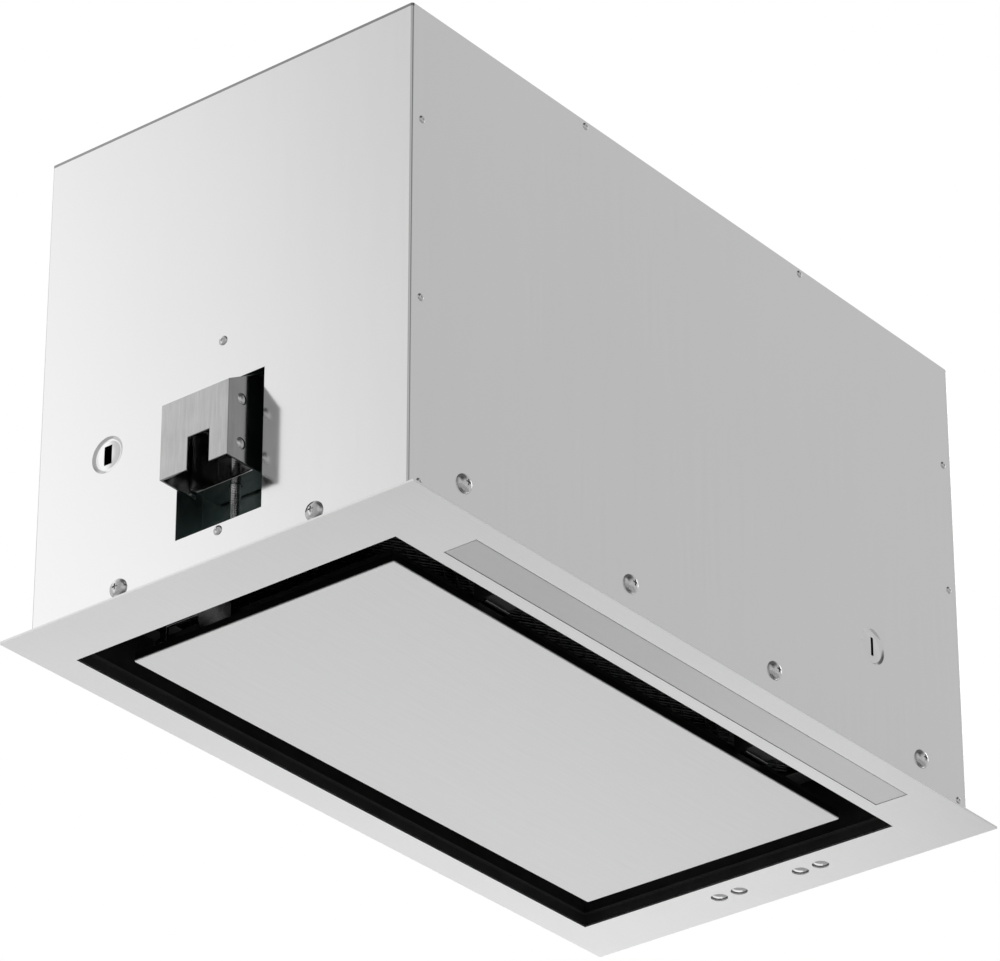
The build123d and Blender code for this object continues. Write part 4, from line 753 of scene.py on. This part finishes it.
for node in ("plenum_deck", "blower_feet", "motor_bracket", "electronics_box", "electronics_cover"):
    soften(node, rounding=0.2 * MM)
shader, place = finish("motor_casting", Metallic=1.0)
cast = noise(place, per_metre=500.0, detail=3.0)
tint(shader, cast, dark=grey(0.42), light=grey(0.56))
roughen(shader, cast, least=0.35, most=0.65)
relief(shader, cast, height=0.05 * MM)
shader, place = finish("terminal_plastic")
moulded = noise(place, per_metre=800.0)
tint(shader, moulded, dark=(0.66, 0.65, 0.60), light=(0.74, 0.73, 0.68))
roughen(shader, moulded, least=0.35, most=0.55)
keep("blower_housing", "inlet_rings", "outlet_duct", "blower_motor", "motor_shaft", "impeller",
     "terminal_block", "run_capacitor")

# ------------------------------------------------------------------ air outlet
# A spun collar with a bead for the duct's clamp stands on the lid. Two plastic
# flaps hang on a shaft across it and close when the blower stops.

COLLAR_MIDDLE = (0.0, 35.0 * MM, 0.0)
COLLAR_PROFILE = [
    (75.8, 301.2), (85.6, 301.2), (86.0, 300.9), (86.0, 300.3), (85.7, 300.0), (73.5, 300.0), (73.5, 315.2),
    (69.5, 315.2), (69.5, 317.2), (73.5, 317.2), (73.5, 330.0), (74.2, 331.0), (74.2, 334.0), (73.5, 335.0),
    (73.5, 343.9), (73.9, 345.0), (74.5, 345.0), (75.0, 344.5), (75.0, 343.8), (74.5, 343.4), (74.5, 335.2),
    (75.3, 334.4), (75.5, 332.5), (75.3, 330.6), (74.5, 329.8), (74.5, 302.4), (74.9, 301.5), (75.8, 301.2),
]
collar = turned(COLLAR_PROFILE, steps=96)
collar.location = COLLAR_MIDDLE
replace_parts(settle(collar, "outlet_collar.spun", "outlet_collar"), "outlet_collar")
keep("damper_shaft")
soften("front_damper_flap", rounding=0.2 * MM)
soften("rear_damper_flap", rounding=0.2 * MM)

# ------------------------------------------------------------------ grease filter
# Expanded aluminium mesh in three layers, held in a folded frame of the same
# metal, with a wire pull at the rear and a sliding latch at the light side.

shader, place = finish("filter_aluminium", Metallic=1.0)
drawn = noise(place, per_metre=500.0, detail=3.0)
# The aluminium's colour is darkened to near black as painted shade, for a filter seen only through the
# shaded gap; the drawn streaks are its own.
tint(shader, drawn, dark=grey(0.12), light=grey(0.18))
roughen(shader, drawn, least=0.28, most=0.48)
soften("grease_filter_frame", rounding=0.5 * MM, segments=3)

MESH_HALF_X = 194.0 * MM
MESH_FRONT_Y = -80.0 * MM
MESH_REAR_Y = 105.0 * MM
MESH_LAYERS_Z = mm(41.2, 43.0, 44.8)
CELL_LENGTH = 11.2 * MM
CELL_WIDTH = 7.0 * MM
STRAND = 0.9 * MM
STRAIGHT_WITHIN = 0.01 * MM
mesh_length = 2 * MESH_HALF_X
mesh_width = MESH_REAR_Y - MESH_FRONT_Y
mesh_middle = (MESH_REAR_Y + MESH_FRONT_Y) / 2
layers = []

# Each cell of a grid is divided by its diagonals. Then the cells' own sides go,
# and the diagonals and the border become the strands.
for z in MESH_LAYERS_Z:
    layer = added(bpy.ops.mesh.primitive_grid_add, x_subdivisions=round(mesh_length / CELL_LENGTH),
                  y_subdivisions=round(mesh_width / CELL_WIDTH), size=1.0)
    layer.scale = (mesh_length, mesh_width, 1.0)
    layer.location = (0, mesh_middle, z)
    bpy.ops.object.transform_apply(location=True, rotation=True, scale=True)
    bpy.ops.object.mode_set(mode="EDIT")
    bpy.ops.mesh.select_all(action="SELECT")
    bpy.ops.mesh.poke()
    bpy.ops.object.mode_set(mode="OBJECT")
    points = layer.data.vertices
    for edge in layer.data.edges:
        start, end = [points[index].co for index in edge.vertices]
        run = start - end
        middle = (start + end) / 2
        inside_x = abs(middle.x) < MESH_HALF_X - NEARLY
        inside_y = MESH_FRONT_Y + NEARLY < middle.y < MESH_REAR_Y - NEARLY
        straight = abs(run.x) < STRAIGHT_WITHIN or abs(run.y) < STRAIGHT_WITHIN
        edge.select = inside_x and inside_y and straight
    for vertex in points:
        vertex.select = False
    for face in layer.data.polygons:
        face.select = False
    bpy.ops.object.mode_set(mode="EDIT")
    bpy.ops.mesh.select_mode(type="EDGE")
    bpy.ops.mesh.dissolve_edges(use_verts=False)
    bpy.ops.object.mode_set(mode="OBJECT")
    apply(layer, "strands", "WIREFRAME", thickness=STRAND, use_even_offset=False, use_boundary=True)
    layers.append(layer)
select_only(*layers)
bpy.ops.object.join()
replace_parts(settle(layers[0], "grease_filter_mesh.lattice", "grease_filter_mesh"), "grease_filter_mesh")
keep("filter_handle")
soften("filter_latch", rounding=0.3 * MM)

# ------------------------------------------------------------------ suction panel
# A shallow satin-steel tray hides the filter and leaves a gap all round for the
# air; its sides and inside are darkened to near black as painted shade. A black
# carrier welded inside it holds the hinge pins and strike plates.

SATIN_TO_Z = 2.4 * MM
PAINTED_SHADE_FULL_Z = 3.6 * MM
SATIN_CONTRAST = 0.4
SATIN_TONE = 0.3
shader, place = finish("panel_steel", Metallic=1.0)
satin = noise(stretched(place, 0.03, 1.0, 1.0), per_metre=900.0, detail=3.0)
# Painted shade: above the tray's face the colour falls to near black on its sides and inside.
painted_rim_shade = ramp(coordinate(place, "Z"), SATIN_TO_Z, PAINTED_SHADE_FULL_Z, low=0.0, high=1.0)
tint(shader, satin * SATIN_CONTRAST + SATIN_TONE - painted_rim_shade, dark=grey(0.88), light=grey(0.92),
     span=(0.4, 0.6), lowest=grey(0.03))
roughen(shader, satin, least=0.45, most=0.55)
relief(shader, satin, height=0.008 * MM)
soften("panel_carrier", rounding=0.2 * MM)
soften("strike_plates", rounding=0.2 * MM)
keep("panel_hinge_pins")
dress(soften("suction_panel", rounding=0.12 * MM), "panel_steel")
